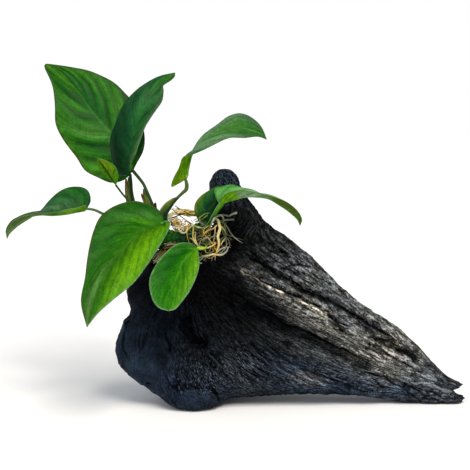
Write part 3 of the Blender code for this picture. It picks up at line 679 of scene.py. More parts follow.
# %% The midrib and rims of each leaf, as in the solids
# arch and wave (height, number, start) bend the blade between midrib and rims. veins is their number, depth
# that of the pillows between them, and sweep how far forward they reach at each rim. face is -1 where the
# underside looks up. The lines are the midrib, the left rim and the right rim, and both rims start and end
# where the midrib does.
LEAVES = {
    "tall_left": dict(
        arch=0.07, wave=(1.2, 4, 0.2), veins=8, depth=0.8, sweep=(0.28, 0.4), lines="""
        -72 14 162, -77 18 174, -84 22 184, -93 27 193, -103 33 204, -113 40 217, -125 46 228, -138 51 237:
        -78 11 156, -87 11 154, -96 13 157, -106 16 162, -113 19 172, -122 23 183, -128 27 195, -129 32 208,
        -132 41 222, -138.5 50 234:
        -69 15 168, -65 18 176, -64 21 185, -66 26 196, -70 31 207, -78 36 215, -89 41 225, -103 45 231,
        -120 48 235, -135 50.5 236.9"""),
    "tall_dark": dict(
        arch=0.15, wave=(0.6, 3, 0.6), veins=6, depth=0.25, sweep=(0.25, 0.25), lines="""
        -73 1 160.5, -73 -5 170, -71 -9 180, -68 -9 192, -64 -6 204, -59 0 215, -51 8 224, -42 18 231:
        -80 0 160, -84 -1 166, -86 -2 177, -86 -2 188, -82 -1 198, -77 2 209, -69 6 219, -60 10 225,
        -51 14 229:
        -74 0 165, -72 4 175, -67 8 186, -62 8 197, -56 8 204, -50.5 7 211, -49.5 9 218, -50 12 222,
        -45.5 15.5 225, -42.3 17 228"""),
    "young": dict(
        arch=0.1, wave=(0, 1, 0), veins=4, depth=0.1, sweep=(0.3, 0.3), lines="""
        -82 -8 154, -86 -12 161, -89 -17 167, -93 -24 174:
        -87 -12 159, -91 -17 164, -93 -22 170:
        -80 -11 160, -81 -17 167, -85 -21 171, -89 -23 173"""),
    "low_left": dict(
        arch=0.08, wave=(0.4, 3, 0.1), veins=7, depth=0.2, sweep=(0.3, 0.3), lines="""
        -102 -10 138, -108 -15 137, -116 -20 136, -124 -25 136, -131 -30 137, -138 -35 136, -144 -40 133,
        -149 -44 128, -151 -46 122:
        -102 -17 142, -105 -25 142, -111 -32 141, -118 -37 140, -126 -41 140, -133 -44 140, -140 -47 138,
        -147 -49 135, -151 -49 129:
        -100 -5 143, -102 0 149, -107 2 152, -115 0 152, -122 -3 149, -128 -9 144, -133 -17 138,
        -139 -25 133, -146 -33 129, -150 -40 125"""),
    "front": dict(
        arch=0.14, wave=(0.6, 3, 0.0), veins=8, depth=0.25, sweep=(0.34, 0.45), face=-1, lines="""
        -48 -22 130, -55 -29 128, -62 -37 126, -70 -46 120, -79 -56 111, -86 -64 104, -91 -72 94,
        -94 -80 82, -94 -86 71:
        -50 -18 136, -57 -16 141, -69 -17 144, -82 -22 141, -91 -30 135, -95 -39 125, -97 -50 112,
        -98 -61 99, -99 -74 85:
        -45 -17 130, -45 -21 125, -51 -31 115, -59 -43 103, -68 -55 93, -79 -67 85, -88 -77 78"""),
    "front_small": dict(
        arch=0.14, wave=(0.4, 2, 0.3), veins=6, depth=0.25, sweep=(0.3, 0.5), face=-1, lines="""
        -25 -33 114, -30 -38 111, -35 -43 106, -38 -48 98, -42 -53 88, -44 -56 75.4:
        -30 -31 117, -38 -32 117, -46 -36 112, -53 -41 104, -57 -46 94, -55 -51 83, -50.5 -54 77.3:
        -24 -36 106, -25 -41 98, -29 -46 89, -35 -51 81, -39.5 -54.5 76.4"""),
    "arching": dict(
        arch=0.06, wave=(0.5, 3, 0.4), veins=5, depth=0.35, sweep=(0.45, 0.45), lines="""
        -34 -8 158, -33 -8 164, -32 -7 170, -30 -4 176, -25 0 182, -17 6 187, -8 13 191, 2 19 193,
        12 24 191, 19 28 188, 23 31 183:
        -33 4 161, -32 9 167, -29 10 176, -25 11 183, -20 15 190, -12 21 195, -4 28 200, 4 34 202,
        12 37 199, 19 36 192:
        -39 -8 155, -44 -8 153, -42 -12 160, -38 -16 167, -35 -18 174, -29 -17 176, -22 -12 179, -12 -6 183,
        -3 0 186, 7 8 186, 16 18 186"""),
    "over_wood": dict(
        arch=0.1, wave=(0.4, 3, 0.2), veins=6, depth=0.2, sweep=(0.35, 0.35), lines="""
        -10 -24 142, -5 -28 145, 1 -32 148, 8 -36 150, 16 -39 150, 23 -42 149, 30 -45 145, 36 -47 141,
        41 -48 136, 43 -48 131:
        -13 -23 147, -14 -22 153, -9 -22 155, -2 -22 156, 5 -24 154, 13 -27 153, 21 -31 149, 29 -36 145,
        35 -41 141, 40 -45 137:
        -9 -29 147, -5 -38 152, 3 -45 154, 10 -49 154, 18 -52 153, 27 -54 150, 35 -55 147, 41 -54 142,
        44 -51 136"""),
    "behind_root": dict(
        arch=0.12, wave=(0.2, 2, 0), veins=4, depth=0.15, sweep=(0.3, 0.3), lines="""
        -20 -15 126.5, -20 -17 133, -19 -18 139, -17 -20 145, -14 -20 151, -11 -18 155:
        -23.5 -14.5 128.5, -26.5 -15 133, -28 -16 138, -27 -16 143, -23 -17 148, -17 -18 152:
        -17.5 -14 129.5, -16 -14 134, -14.3 -15 139, -12.5 -16 146"""),
}
print(len(LEAVES), "leaves")

# %% The greens, and where each leaf has them
SHADES |= {key: linear(shade) for key, shade in table("""
    night #02280f, bluish #1b5224, jade #35852d, deep #084a02, mid #1c580c, fresh #306a10, band #417c24,
    bright #4b8a04, lime #649a06, yellow #84900c, olive #4b641c, sage #5a783c, silver #4a7044, frost #7f9e76,
    pale #5a9646, leafy #2c7606, vivid #034c00, grass #215c04, pine #0b4420, brown #4a3818, red #3c2412""")}

# Each leaf has a ground shade, its contrast between pillows and veins, and shades of the left and right rim.
# rib has a shade, a strength and the place where it fades, and under has shades in rows. Patches have a
# shade, the row and column of the middle, the reach in each, and a strength. Rows follow the side veins,
# from 0 at the stalk to 1 at the tip, and columns run from -1 at the left rim to 1 at the right.
# Much of it is painted light and shade. The contrast paints light on the pillows and shade along the veins.
# Bright and lime patches light the halves that face the key lamp, and night and pine ones shade the halves
# that face away. Band patches are painted sheen on the pillows, and silver and frost ones painted sheen.
# Frost and pale rims are painted highlights along lit edges, and night rims painted shade.
LOOKS = {
    "tall_left": dict(
        ground="mid", contrast=0.35, rims="red red", rib="pale 0.4 0.6",
        under="0 sage, 1 pale", patches="""
        band 0.36 -0.45 0.06 0.55 0.9, band 0.05 -0.6 0.09 0.5 0.6, deep 0.25 -0.55 0.035 0.4 0.9,
        deep 0.385 -0.3 0.014 0.22 0.6, band 0.53 -0.5 0.03 0.3 0.6, deep 0.66 -0.45 0.06 0.45 0.9,
        fresh 0.3 -1 0.4 0.22 0.9, band 0.22 0.6 0.07 0.35 0.7, fresh 0.5 0.8 0.3 0.25 0.7,
        bluish 0.55 0.2 0.2 0.2 0.6, bluish 0.88 -0.3 0.06 0.35 0.6, bright 0.9 0 0.13 1.5 0.6,
        yellow 1 0 0.04 1.5 0.8, bright 0.02 0 0.08 0.9 0.5, night -0.08 0.95 0.2 0.45 0.8"""),
    "tall_dark": dict(
        ground="bluish", contrast=0.18, rims="night brown", rib="jade 0 0.5",
        under="0 pale, 1 sage", patches="""
        pine 0.35 -0.3 0.35 0.6 0.8, night 0.1 -0.65 0.33 0.6 0.97, jade 0.22 0.5 0.2 0.35 0.8,
        jade 0.05 0.9 0.5 0.12 0.7, jade 0.6 -0.1 0.15 0.3 0.3, silver 0.42 0.7 0.2 0.3 0.6,
        fresh 0.9 0 0.14 1.5 0.8, olive 1 0 0.05 1.5 0.5"""),
    "young": dict(
        ground="bright", contrast=0.2, rims="olive pale", rib="deep 0.8 0.9",
        under="0 lime, 1 pale", patches="""
        yellow 0.65 0.6 0.4 0.6 0.8, bright 0.2 0.6 0.25 0.5 0.6, pale 1 0 0.15 1.2 0.6,
        olive 0.1 -0.5 0.2 0.6 0.5"""),
    "low_left": dict(
        ground="bluish", contrast=0.2, rims="night night", rib="pale 0.5 0.9",
        under="0 lime, 0.3 lime, 0.45 fresh, 0.62 sage, 1 sage", patches="""
        mid 0.05 0.5 0.14 0.9 0.6, silver 0.35 0.35 0.14 0.5 0.6, silver 0.55 0.2 0.1 0.6 0.4"""),
    "front": dict(
        ground="grass", contrast=0.14, rims="brown frost", rib="deep 0.25 0.6",
        under="0 pale, 1 sage", patches="""
        bright 0.1 0.75 0.5 0.7 1, lime 0.16 0.6 0.3 0.4 0.75, band 0 -0.5 0.1 0.4 0.5,
        deep -0.15 -1 0.3 0.3 0.8, grass 0.6 0.6 0.17 0.5 0.9, deep 0.02 -0.04 0.12 0.09 0.9,
        mid 0.16 -0.3 0.04 0.4 0.8, mid 0.28 -0.6 0.07 0.4 0.8, mid 0.44 -0.5 0.05 0.35 0.6,
        bright 0.1 -0.25 0.04 0.3 0.6, mid 0.6 -0.7 0.2 0.3 0.5, sage 0.86 -0.1 0.2 0.5 0.7,
        pale 0.74 0.1 0.12 0.1 0.7, sage 1 0 0.06 1.5 0.6"""),
    "front_small": dict(
        ground="leafy", contrast=0.14, rims="frost frost", rib="bright 0.5 0.6",
        under="0 pale, 1 pale", patches="""
        bright 0.1 0.75 0.5 0.55 0.95, lime -0.1 0.6 0.2 0.4 0.6, deep 0.3 0.5 0.035 0.3 0.6,
        vivid 0.2 -0.5 0.42 0.5 0.95, fresh 0.95 0 0.12 1.2 0.7, lime 0 0 0.04 0.4 0.8"""),
    "arching": dict(
        ground="bluish", contrast=0.15, rims="night olive", rib="silver 0.3 0.6",
        under="0 yellow, 0.12 lime, 0.35 lime, 1 pale", patches="""
        frost 0.2 0 0.22 1 0.7, silver 0.4 -0.4 0.25 0.6 0.8, band 0.55 0.2 0.3 0.6 0.7,
        band 0.75 0.3 0.22 0.4 0.7, fresh 0.7 -0.5 0.12 0.3 0.6, deep 0.5 0.6 0.08 0.3 0.5,
        olive 1 0 0.05 1.5 0.5"""),
    "over_wood": dict(
        ground="pale", contrast=0.25, rims="night olive", rib="deep 0.6 0.5",
        under="0 lime, 0.3 lime, 0.36 frost, 0.55 frost, 0.68 olive, 1 olive", patches="""
        frost 0.35 -0.4 0.17 0.6 0.8, jade 0 -0.9 0.2 0.2 0.5, frost 0.55 0 0.22 1 1,
        olive 0.95 0 0.2 1.5 0.9"""),
    "behind_root": dict(
        ground="bluish", contrast=0.2, rims="olive brown", rib="night 0.4 0.6",
        under="0 pale, 1 pale", patches="""
        night 0.5 0.1 0.25 0.35 0.6, yellow 0.2 -1 0.25 0.3 0.9, fresh 0.36 -0.6 0.22 0.25 0.6,
        jade 0.95 0 0.15 1 0.4, night 0 0 0.3 1.5 0.7"""),
}


def along_shades(shares, stops):
    """Colours at shares of a length, from (share, shade) stops."""
    places, shades = zip(*stops)
    colours = np.array([SHADES[shade] for shade in shades])
    return np.stack([np.interp(shares, places, channel) for channel in colours.T], axis=-1)


print(len(SHADES), "shades")

# %% Spread a blade between its rib and rims
BLADE_ROWS, HALF_COLUMNS = 96, 22
ROW_LEAD = 1.2  # makes the rows closer near the stalk
ROW_BOW = 0.18  # and bows them back between midrib and rim
BLADE_THICK, RIM_THICK, RIB_THICK = 0.5, 0.22, 0.9
NARROW = 7  # where half a blade is narrower than this, it is plainer
PILLOW, GROOVE, RIB_DIP, UNEVEN = 0.55, 0.3, 0.3, 0.25  # heights and depths of its relief


def blade(lines, arch, wave, veins, depth, sweep, face=1):
    """Shares along and across a leaf blade, its upper and lower nets of points, and measures on them."""
    middle, left, right = (table(line) for line in lines.split(":"))
    height, count, start = wave
    row = np.linspace(0, 1, BLADE_ROWS + 1)
    column = np.linspace(-1, 1, 2 * HALF_COLUMNS + 1)
    rib = curve(middle)
    root = along(rib, row**ROW_LEAD)
    ahead = along(rib, row**ROW_LEAD + 0.02) - along(rib, row**ROW_LEAD - 0.02)
    ahead /= length_of(ahead)[:, None]
    net = np.zeros((len(row), len(column), 3))
    width = np.zeros((len(row), len(column)))
    for side, margin in ((-1, left), (1, right)):
        rim = along(curve([middle[0], *margin, middle[-1]]), row)
        span = rim - root
        up = np.cross(span * side, ahead)
        size = length_of(up)
        up = np.where(size[:, None] > 1e-3, up / np.maximum(size, 1e-9)[:, None], 0)
        for k in range(HALF_COLUMNS + 1):
            away = k / HALF_COLUMNS
            swell = math.sin(math.pi * away) * length_of(span)
            ruffle = height * away**2 * np.sin(math.pi * row) * np.sin(2 * math.pi * (count * row + start))
            back = ahead * (ROW_BOW * swell * np.minimum(1, 4 * row))[:, None]
            at = HALF_COLUMNS + side * k
            net[:, at] = root + span * away + up * (arch * swell + ruffle)[:, None] - back
            width[:, at] = length_of(span)
    out = np.cross(np.gradient(net, axis=1), np.gradient(net, axis=0))
    out[0], out[-1] = out[1], out[-2]
    out *= face / np.maximum(length_of(out), 1e-9)[..., None]
    if face < 0:
        net += out * BLADE_THICK
        net[0], net[-1] = root[0], root[-1]
    away = np.abs(column)[None, :] * np.ones_like(width)
    rib_mm, rim_mm = away * width, (1 - away) * width
    fullness = np.minimum(width / NARROW, 1)
    lay = row[:, None] - np.where(column < 0, sweep[0], sweep[1]) * away**0.8
    uneven = hills(net.reshape(-1, 3), (9, 9, 9), 20).reshape(width.shape)
    phase = lay * veins + 0.07 * uneven
    swings = np.stack((lay * veins * 0.6, column + 0 * lay, 0 * lay), -1)
    strong = 0.8 + 0.5 * hills(swings.reshape(-1, 3), (1, 0.5, 1), 22).reshape(width.shape)
    belly = np.sqrt(np.sin(math.pi * away)) * fullness
    pillow = strong * np.cos(2 * math.pi * (phase - 0.5)) * belly
    groove = bell((phase - np.round(phase)) * 9, 1) * belly
    relief = depth * (PILLOW * pillow - GROOVE * groove) - RIB_DIP * bell(rib_mm, 0.8) * fullness
    relief += UNEVEN * uneven * fullness * np.sin(math.pi * away)
    relief[0] = relief[-1] = 0
    net += out * relief[..., None]
    thick = BLADE_THICK + RIB_THICK * bell(rib_mm, 1.1) * (1 - 0.7 * row[:, None])
    thick = np.minimum(thick, RIM_THICK + rim_mm * 0.5) * (0.3 + 0.7 * fullness)
    below = net - out * thick[..., None]
    return row, column, net, below, dict(rib_mm=rib_mm, rim_mm=rim_mm, phase=phase, lay=lay, pillow=pillow)


# %% One closed mesh from its two nets
def sew(net, below):
    """One closed mesh from the upper and lower nets of a blade, which share their two end points."""
    row_count, column_count = net.shape[:2]
    points = [net[0, 0], net[-1, 0]]
    which = np.zeros((2, row_count, column_count), int)
    which[:, 0], which[:, -1] = 0, 1
    for layer, sheet in enumerate((net, below)):
        inner = sheet[1:-1].reshape(-1, 3)
        which[layer, 1:-1] = len(points) + np.arange(len(inner)).reshape(row_count - 2, column_count)
        points += list(inner)
    faces = []

    def face(*corners):
        distinct = list(dict.fromkeys(int(c) for c in corners))
        if len(distinct) > 2:
            faces.append(distinct)

    up, down = which
    for i in range(row_count - 1):
        for j in range(column_count - 1):
            face(up[i, j], up[i, j + 1], up[i + 1, j + 1], up[i + 1, j])
            face(down[i, j], down[i + 1, j], down[i + 1, j + 1], down[i, j + 1])
        face(up[i, 0], up[i + 1, 0], down[i + 1, 0], down[i, 0])
        face(up[i, -1], down[i, -1], down[i + 1, -1], up[i + 1, -1])
    return np.array(points), faces


def lay_out(values):
    """A measure of the net, in the order in which sew puts the points."""
    return np.concatenate(([values[0, 0], values[-1, 0]], values[1:-1].ravel(), values[1:-1].ravel()))


# %% [markdown]
# ### The finish of a leaf
#
# A leaf is waxy: a soft gloss over a green that lies a little below the surface, so it lets some light
# into itself. Between the veins it is slightly paler, the midrib and the rim are drawn as fine lines,
# and thin streaks run with the side veins.

# %% The leaf material
LEAF_STREAK = (7.0, 2.2, 0.0)  # streaks from one vein to the next, and from midrib to rim
LEAF_MOTTLE, LEAF_CELL, LEAF_BUMP = 4, 1.0, 0.5  # sizes of its spots, and depth of its relief
VEIN_HALF = 0.07  # of the room between two veins


def leaf_finish(name, glow):
    """The skin of a leaf, which lets a share of the light into it."""
    made, tree, shader = new_finish(name, IOR=1.42, Subsurface_Weight=glow, Subsurface_Scale=0.0012,
                                    Subsurface_Radius=(0.6, 1.0, 0.2), Specular_IOR_Level=0.1)
    tint = add_node(tree, "Attribute", attribute_name="tint").outputs["Color"]
    flow = add_node(tree, "Attribute", attribute_name="flow").outputs["Vector"]
    place = add_node(tree, "TexCoord").outputs["Object"]
    phase = add_node(tree, "SeparateXYZ", {0: flow}).outputs["X"]
    to_vein = add_node(tree, "Math", {0: phase, 1: 0.5}, operation="PINGPONG")
    vein = add_node(tree, "MapRange", {0: to_vein, 1: 0.0, 2: VEIN_HALF, 3: 1.0, 4: 0.0})
    at = add_node(tree, "VectorMath", {0: flow, 1: LEAF_STREAK}, operation="MULTIPLY")
    streak = add_node(tree, "TexNoise", {"Vector": at, "Scale": 1.0, "Detail": 5.0, "Roughness": 0.6})
    mottle = add_node(tree, "TexNoise", {"Vector": place, "Scale": 1 / (LEAF_MOTTLE * MM), "Detail": 5.0,
                                         "Roughness": 0.6})
    cells = add_node(tree, "TexNoise", {"Vector": place, "Scale": 1 / (LEAF_CELL * MM), "Detail": 1.0})
    shift = weigh(tree, [(streak, 1.5), (mottle, 1.1), (cells, 0.6), (vein, -0.07)], -0.66)
    warm = add_node(tree, "Math", {0: shift, 1: -0.02, 2: 0.52}, operation="MULTIPLY_ADD")
    colour = add_node(tree, "HueSaturation", {"Color": tint, "Value": shift, "Hue": warm})
    rough = add_node(tree, "MapRange", {0: mottle, 1: 0.3, 2: 0.7, 3: 0.38, 4: 0.52})
    height = weigh(tree, [(streak, 1.0), (cells, 0.25), (vein, -0.3)])
    bump = add_node(tree, "Bump", {"Height": height, "Strength": 0.4, "Distance": LEAF_BUMP * MM})
    feed(tree, shader, {"Base Color": colour, "Roughness": rough, "Normal": bump})
    return made


# a grown leaf is firm and waxy, with a soft shine
grown_leaf = leaf_finish("waxy_leaf", 0.1)
# a young one is thin, and glows where light falls through it
young_leaf = leaf_finish("young_leaf", 0.25)

# %% The nine leaves
RIB_LINE, RIB_BELOW, RIM_LINE = 0.6, 0.9, 0.55  # half-widths of the drawn lines
RIM_STRENGTH = 0.75

for name, drawn in LEAVES.items():
    look = LOOKS[name]
    row, column, net, below, measures = blade(**drawn)
    at_rows, at_columns = np.meshgrid(row, column, indexing="ij")
    lay = measures["lay"]
    tint = np.ones((*lay.shape, 3)) * SHADES[look["ground"]]
    # patches hold the leaf's own greens and also painted light, shade and sheen
    for shade, at_row, at_column, reach_row, reach_column, strength in table(look["patches"]):
        near = bell(np.hypot((lay - at_row) / reach_row, (at_columns - at_column) / reach_column), 1)
        tint = mix(tint, shade, strength * near)
    beneath = along_shades(at_rows, table(look["under"]))
    [(rib_shade, rib_strength, rib_end)], [rims] = table(look["rib"]), table(look["rims"])
    ribbed = bell(measures["rib_mm"], RIB_LINE) * (1 - ease(at_rows, rib_end - 0.25, rib_end + 0.25))
    tint = mix(tint, rib_shade, rib_strength * ribbed)
    beneath = mix(beneath, "pale", 0.3 * bell(measures["rib_mm"], RIB_BELOW))
    # frost and pale rims are painted highlights, and night rims painted shade
    rimmed = RIM_STRENGTH * bell(measures["rim_mm"], RIM_LINE)
    for side, rim_shade in zip((at_columns < 0, at_columns > 0), rims):
        tint = mix(tint, rim_shade, rimmed * side)
        beneath = mix(beneath, rim_shade, rimmed * side)
    # the contrast paints light on the pillows and shade along the veins
    tint, beneath = (c * (1 + look["contrast"] * measures["pillow"])[..., None] for c in (tint, beneath))
    colours = np.concatenate((tint[0, :1], tint[-1, :1], tint[1:-1].reshape(-1, 3),
                              beneath[1:-1].reshape(-1, 3)))
    points, faces = sew(net, below)
    if drawn.get("face", 1) < 0:
        faces = [f[::-1] for f in faces]
    flow = np.stack([lay_out(values) for values in (measures["phase"], at_columns, at_rows)], axis=-1)
    young = name == "young"
    add_piece(f"{name}_leaf", points, faces, young_leaf if young else grown_leaf,
              "young_leaf" if young else "leaf", [f"leaf_{name}"], tint=colours, flow=flow)

# %% [markdown]
# ## Stalks, sheaths and the rhizome
#
# A leaf stalk is a firm round stem, and a papery brown sheath is left at the foot of some. The rhizome is
# the thick stem that creeps along the wood, lumpy with the scars of lost leaves and grown over with moss.
# All could be curves with a round bevel. Closed tubes of quads are made here instead, as they can be
# flattened, ridged and coloured round their girth, and they export as they are.

# %% A closed tube along a line
END_RING = (0.55, 0.85)  # a smaller ring beyond each end: how far out and how large, in the end's thickness
END_POINT = 0.8


def tube(way, rings=48, sides=12, relief=None, flat=1.0):
    """Points, faces, share along, turn round and flow of a closed tube. Its way has (x, y, z, radius)."""
    line = along(curve(way, 4 * rings + 1), np.linspace(0, 1, rings + 1))
    centre, thick = line[:, :3], line[:, 3]
    reach = length_of(np.diff(centre, axis=0)).sum()
    ahead = np.gradient(centre, axis=0)
    ahead /= length_of(ahead)[:, None]
    turn = np.linspace(0, 2 * math.pi, sides, endpoint=False)
    side = np.array((0.0, 1.0, 0.0)) if abs(ahead[0, 1]) < 0.9 else np.array((1.0, 0.0, 0.0))
    out, size = END_RING
    ends = {0: [(-out, size), (0, 1.0)], rings: [(0, 1.0), (out, size)]}
    loops, shares = [], []
    for i in range(rings + 1):
        share = i / rings
        side = side - ahead[i] * side.dot(ahead[i])
        side /= length_of(side)
        other = np.cross(ahead[i], side)
        radius = thick[i] + (relief(share, turn) if relief else 0 * turn)
        for beyond, size in ends.get(i, [(0, 1.0)]):
            loops.append(centre[i] + ahead[i] * beyond * thick[i]
                         + size * (radius * np.cos(turn))[:, None] * side
                         + size * flat * (radius * np.sin(turn))[:, None] * other)
            shares.append(share)
    points = [centre[0] - ahead[0] * thick[0] * END_POINT, *np.concatenate(loops),
              centre[-1] + ahead[-1] * thick[-1] * END_POINT]
    shares = np.concatenate(([0.0], np.repeat(shares, sides), [1.0]))
    turns = np.concatenate(([0.0], np.tile(turn, len(loops)), [0.0]))
    faces = []
    for i in range(len(loops) - 1):
        for k in range(sides):
            a, b = 1 + i * sides + k, 1 + i * sides + (k + 1) % sides
            faces.append((a, b, b + sides, a + sides))
    last = len(points) - 1
    for k in range(sides):
        faces.append((0, 1 + (k + 1) % sides, 1 + k))
        faces.append((last, last - sides + k, last - sides + (k + 1) % sides))
    mean = thick.mean()
    flow = np.stack((mean * np.cos(turns), mean * np.sin(turns), shares * reach), axis=-1)
    return np.array(points), faces, shares, turns, flow


# %% Several tubes as one piece
EDGE_STRENGTH = 0.85  # of the shades of a tube's two edges


def add_tubes(name, tubes, finish, slot, replaced):
    """Each tube is (way, shades along it, shades of its left and right edge, further settings)."""
    all_points, all_faces, tints, flows, count = [], [], [], [], 0
    for n, (way, shades, edges, settings) in enumerate(tubes):
        points, faces, shares, turns, flow = tube(way, **settings)
        tint = along_shades(shares, [(k / (len(shades) - 1), shade) for k, shade in enumerate(shades)])
        # the edge shades darken or lighten a tube's two sides: on the stalks, painted shade on one side and
        # painted light on the other; on the sheaths, partly the brown of their dry margins and partly
        # painted shade
        for shade, edge in zip(edges, (-1, 1)):
            tint = mix(tint, shade, EDGE_STRENGTH * ease(edge * np.sin(turns), 0.55, 0.95))
        all_points.append(points)
        all_faces += [tuple(v + count for v in f) for f in faces]
        tints.append(tint)
        flows.append(flow + 17.3 * n)  # so that no two tubes have the same noise
        count += len(points)
    return add_piece(name, np.concatenate(all_points), all_faces, finish, slot, replaced,
                     tint=np.concatenate(tints), flow=np.concatenate(flows))


# %% The stem material
def stem_finish(name, rough, fibre_size, contrast, bump_mm):
    """A stem's skin, with fibres of a size (across, across, along) that are light and dark by a contrast."""
    made, tree, shader = new_finish(name, IOR=1.42, Subsurface_Weight=0.08, Subsurface_Scale=0.001,
                                    Specular_IOR_Level=0.15)
    tint = add_node(tree, "Attribute", attribute_name="tint").outputs["Vector"]
    flow = add_node(tree, "Attribute", attribute_name="flow").outputs["Vector"]
    at = add_node(tree, "VectorMath", {0: flow, 1: fibre_size}, operation="DIVIDE")
    fibre = add_node(tree, "TexNoise", {"Vector": at, "Scale": 1.0, "Detail": 3.0, "Roughness": 0.6})
    light = add_node(tree, "MapRange", {0: fibre, 1: 0.3, 2: 0.7, 3: 1 - contrast, 4: 1 + contrast})
    colour = add_node(tree, "VectorMath", {0: tint, "Scale": light}, operation="SCALE")
    gloss = add_node(tree, "MapRange", {0: fibre, 3: rough - 0.08, 4: rough + 0.08})
    bump = add_node(tree, "Bump", {"Height": fibre, "Strength": 0.5, "Distance": bump_mm * MM})
    feed(tree, shader, {"Base Color": colour, "Roughness": gloss, "Normal": bump})
    return made


# a stalk is smooth and waxy, with fine lengthwise fibres
stem = stem_finish("waxy_leaf_stalk", 0.42, (0.6, 0.6, 7.0), 0.4, 0.2)
# a dead sheath is dull and papery, and its fibres stand out
papery = stem_finish("dry_papery_sheath", 0.75, (0.8, 0.8, 6.0), 0.85, 0.4)
# the old stem is dull, and its moss makes it patchy
mossy = stem_finish("mossy_rhizome_skin", 0.6, (1.6, 1.6, 2.2), 0.75, 0.8)
# roots are satin fibres, a little uneven along their length
root_skin = stem_finish("satin_root_skin", 0.55, (0.5, 0.5, 2.5), 0.3, 0.15)

# %% The stalks: name, shades along it, shades of its edges, and x, y, z and radius of its points
SHADES |= {key: linear(shade) for key, shade in table("""
    ink #0c2410, pond #173a2c, reed #27451c, bark #5c2a16, khaki #504d2a, parchment #b3ac86,
    cream #d6c586, bone #a3a48c, ash #6a6c5a, gold #c4a244, amber #a07a30, rust #6b4318, thread #1a120b,
    moss #4b5f26, dim #4c4a30, sprout #7f9440, shoot #93b83a""")}

# the edge shades of a stalk are painted shade along its dark side and painted light along its lit one
STALKS = rows("""
    tall_left: reed reed ink khaki: ink ink: -72 14 162 1.2, -67.2 9 157.1 1.1, -64.2 6 153.6 1.1,
      -62.2 4 149.6 1.15, -60 1 144.9 1.3, -57.2 -3 139 1.5, -50 -8 126 1.7, -46 -9 119 1.7;
    tall_dark: ink ink ink: reed ink: -73 1 160.5 1.1, -72.4 1 155 1, -72 0 149 1.05, -70.9 -2 143 1.3,
      -69 -4 137 1.6, -62 -7 126 1.7, -55 -8 117 1.7;
    young: reed reed reed: : -82 -8 154 0.7, -77.8 -9 148.5 0.7, -73.8 -10 143.9 0.75, -68 -11 136 0.9,
      -63 -11 129 1, -58 -10 120 1.2;
    low_left: silver reed olive: : -102 -10 138 0.9, -97 -9 137 0.9, -91 -8 134 1, -76 -7 126 1.2,
      -61 -7 116 1.4;
    front: fresh mid olive: : -48 -22 130 1.1, -48.6 -18.5 129 1.2, -47.5 -14 125 1.4, -44 -12 121 1.6;
    front_small: shoot shoot moss ink ink: : -25 -33 114 1.1, -23 -33 113.6 1, -21 -32 113.7 0.8,
      -19.6 -29 114 0.7, -20 -23 116 0.9, -21 -17 120 1.2;
    arching: moss moss pond pond ink: ink leafy: -34 -8 158 1, -33.2 -8 154 1.35, -33.9 -8 150.8 1.35,
      -36 -8 148.9 1.15, -39.8 -8.5 145.2 1.05, -44.2 -9 139.8 1.15, -48 -9 133 1.6, -47 -9 122 1.8;
    over_wood: bright fresh deep night: frost deep: -9 -24 143 1.9, -12 -23 139 1.6, -15 -20 133.4 1.5,
      -18.5 -17 127 1.6, -24 -13 123 1.7;
    behind_root: deep night: : -20 -15 126.5 0.9, -21 -14 124 1, -25 -12 121 1.2""")

for [(name,)], [shades], [edges], way in STALKS:
    add_tubes(f"{name}_stalk", [(way, shades, edges, {})], stem, "stalk", [f"stalk_{name}"])

# %% The rhizome, with a nearly black tube under it
STEM_LONG, STEM_THICK = 50, 5  # the sizes that its lumps and scars are laid on

RHIZOME = table("""
    -62 -8 109 2.4, -56 -8 112 3.8, -48 -10 117.2 5.8, -40 -11 117.2 5.5, -33 -12 117.8 5.2,
    -26.5 -12 123.6 5, -20.5 -13 127.5 3.4""")
DARK_UNDERLAY = table("""
    -60 -13 102 2.4, -52 -14 106.5 3.6, -43 -14 109.5 4.2, -33 -13 110.5 4.4, -24 -13 112 3.8,
    -16 -13 114 2.8""")


def scarred(share, turn):
    """Lumps and scars round a stem."""
    at = np.stack((np.full(len(turn), STEM_LONG * share), STEM_THICK * np.cos(turn),
                   STEM_THICK * np.sin(turn)), axis=-1)
    return 1.1 * hills(at, (6, 5, 5), 21) + 0.5 * hills(at, (2, 2, 2), 22) + 0.15 * math.cos(70 * share)


settings = dict(rings=90, sides=32, relief=scarred)
add_tubes("creeping_rhizome", [
    (RHIZOME, ("night", "deep", "deep", "night", "night", "deep"), ("night", "deep"), settings),
    (DARK_UNDERLAY, ("thread", "night", "thread", "night"), (), settings),
], mossy, "rhizome", ["rhizome"])

# %% The dry sheaths and the stump: shades, edges and points of each strip
SHEATH_FLAT = 1.7  # times as wide as thick

SHEATHS = {
    "sheath_tall": """
        khaki olive olive: bark ink: -63.9 3 150.3 0.3, -63 1.5 147 0.75, -60.8 -1.5 142.3 1.05,
          -57.5 -5 135 1.1;
        bark khaki olive: bark olive: -65.2 2 146.9 0.35, -64.3 1 144.9 0.6, -61.9 -2 141 0.9,
          -58 -5 133 1""",
    "sheath_dark": """
        khaki khaki olive reed: bark ink: -76 1 157.5 0.35, -75.6 1 154 0.7, -75 0 149 1, -73.8 -2 142 1.1,
          -71 -5 134 1;
        olive khaki reed: khaki ink: -74.2 2 158.5 0.3, -74 2 155 0.6, -73.5 1 149 0.8, -72 -2 141 0.8""",
    "sheath_arching": """
        khaki olive reed ink: parchment ink: -40.2 -10 145.7 0.3, -42.4 -10 144.3 0.75, -45.2 -10.3 142 1.1,
          -48 -10.7 138.8 1.4, -50 -11 134.5 1.6, -50.5 -11 128 1.5""",
    "old_stump": """
        thread bark thread: : -55.1 -8 141.4 0.8, -54.8 -9 138.5 0.9, -54 -9 131 1.1""",
}


def fine_ribs(share, turn):
    """Fine ribs along a dry strip."""
    return 0.1 * np.cos(9 * turn)


for name, parts in SHEATHS.items():
    settings = dict(flat=1.0 if name == "old_stump" else SHEATH_FLAT, sides=20, relief=fine_ribs)
    add_tubes(f"{name}_skin", [(way, shades, edges, settings) for [shades], [edges], way in rows(parts)],
              papery, "sheath", [name])
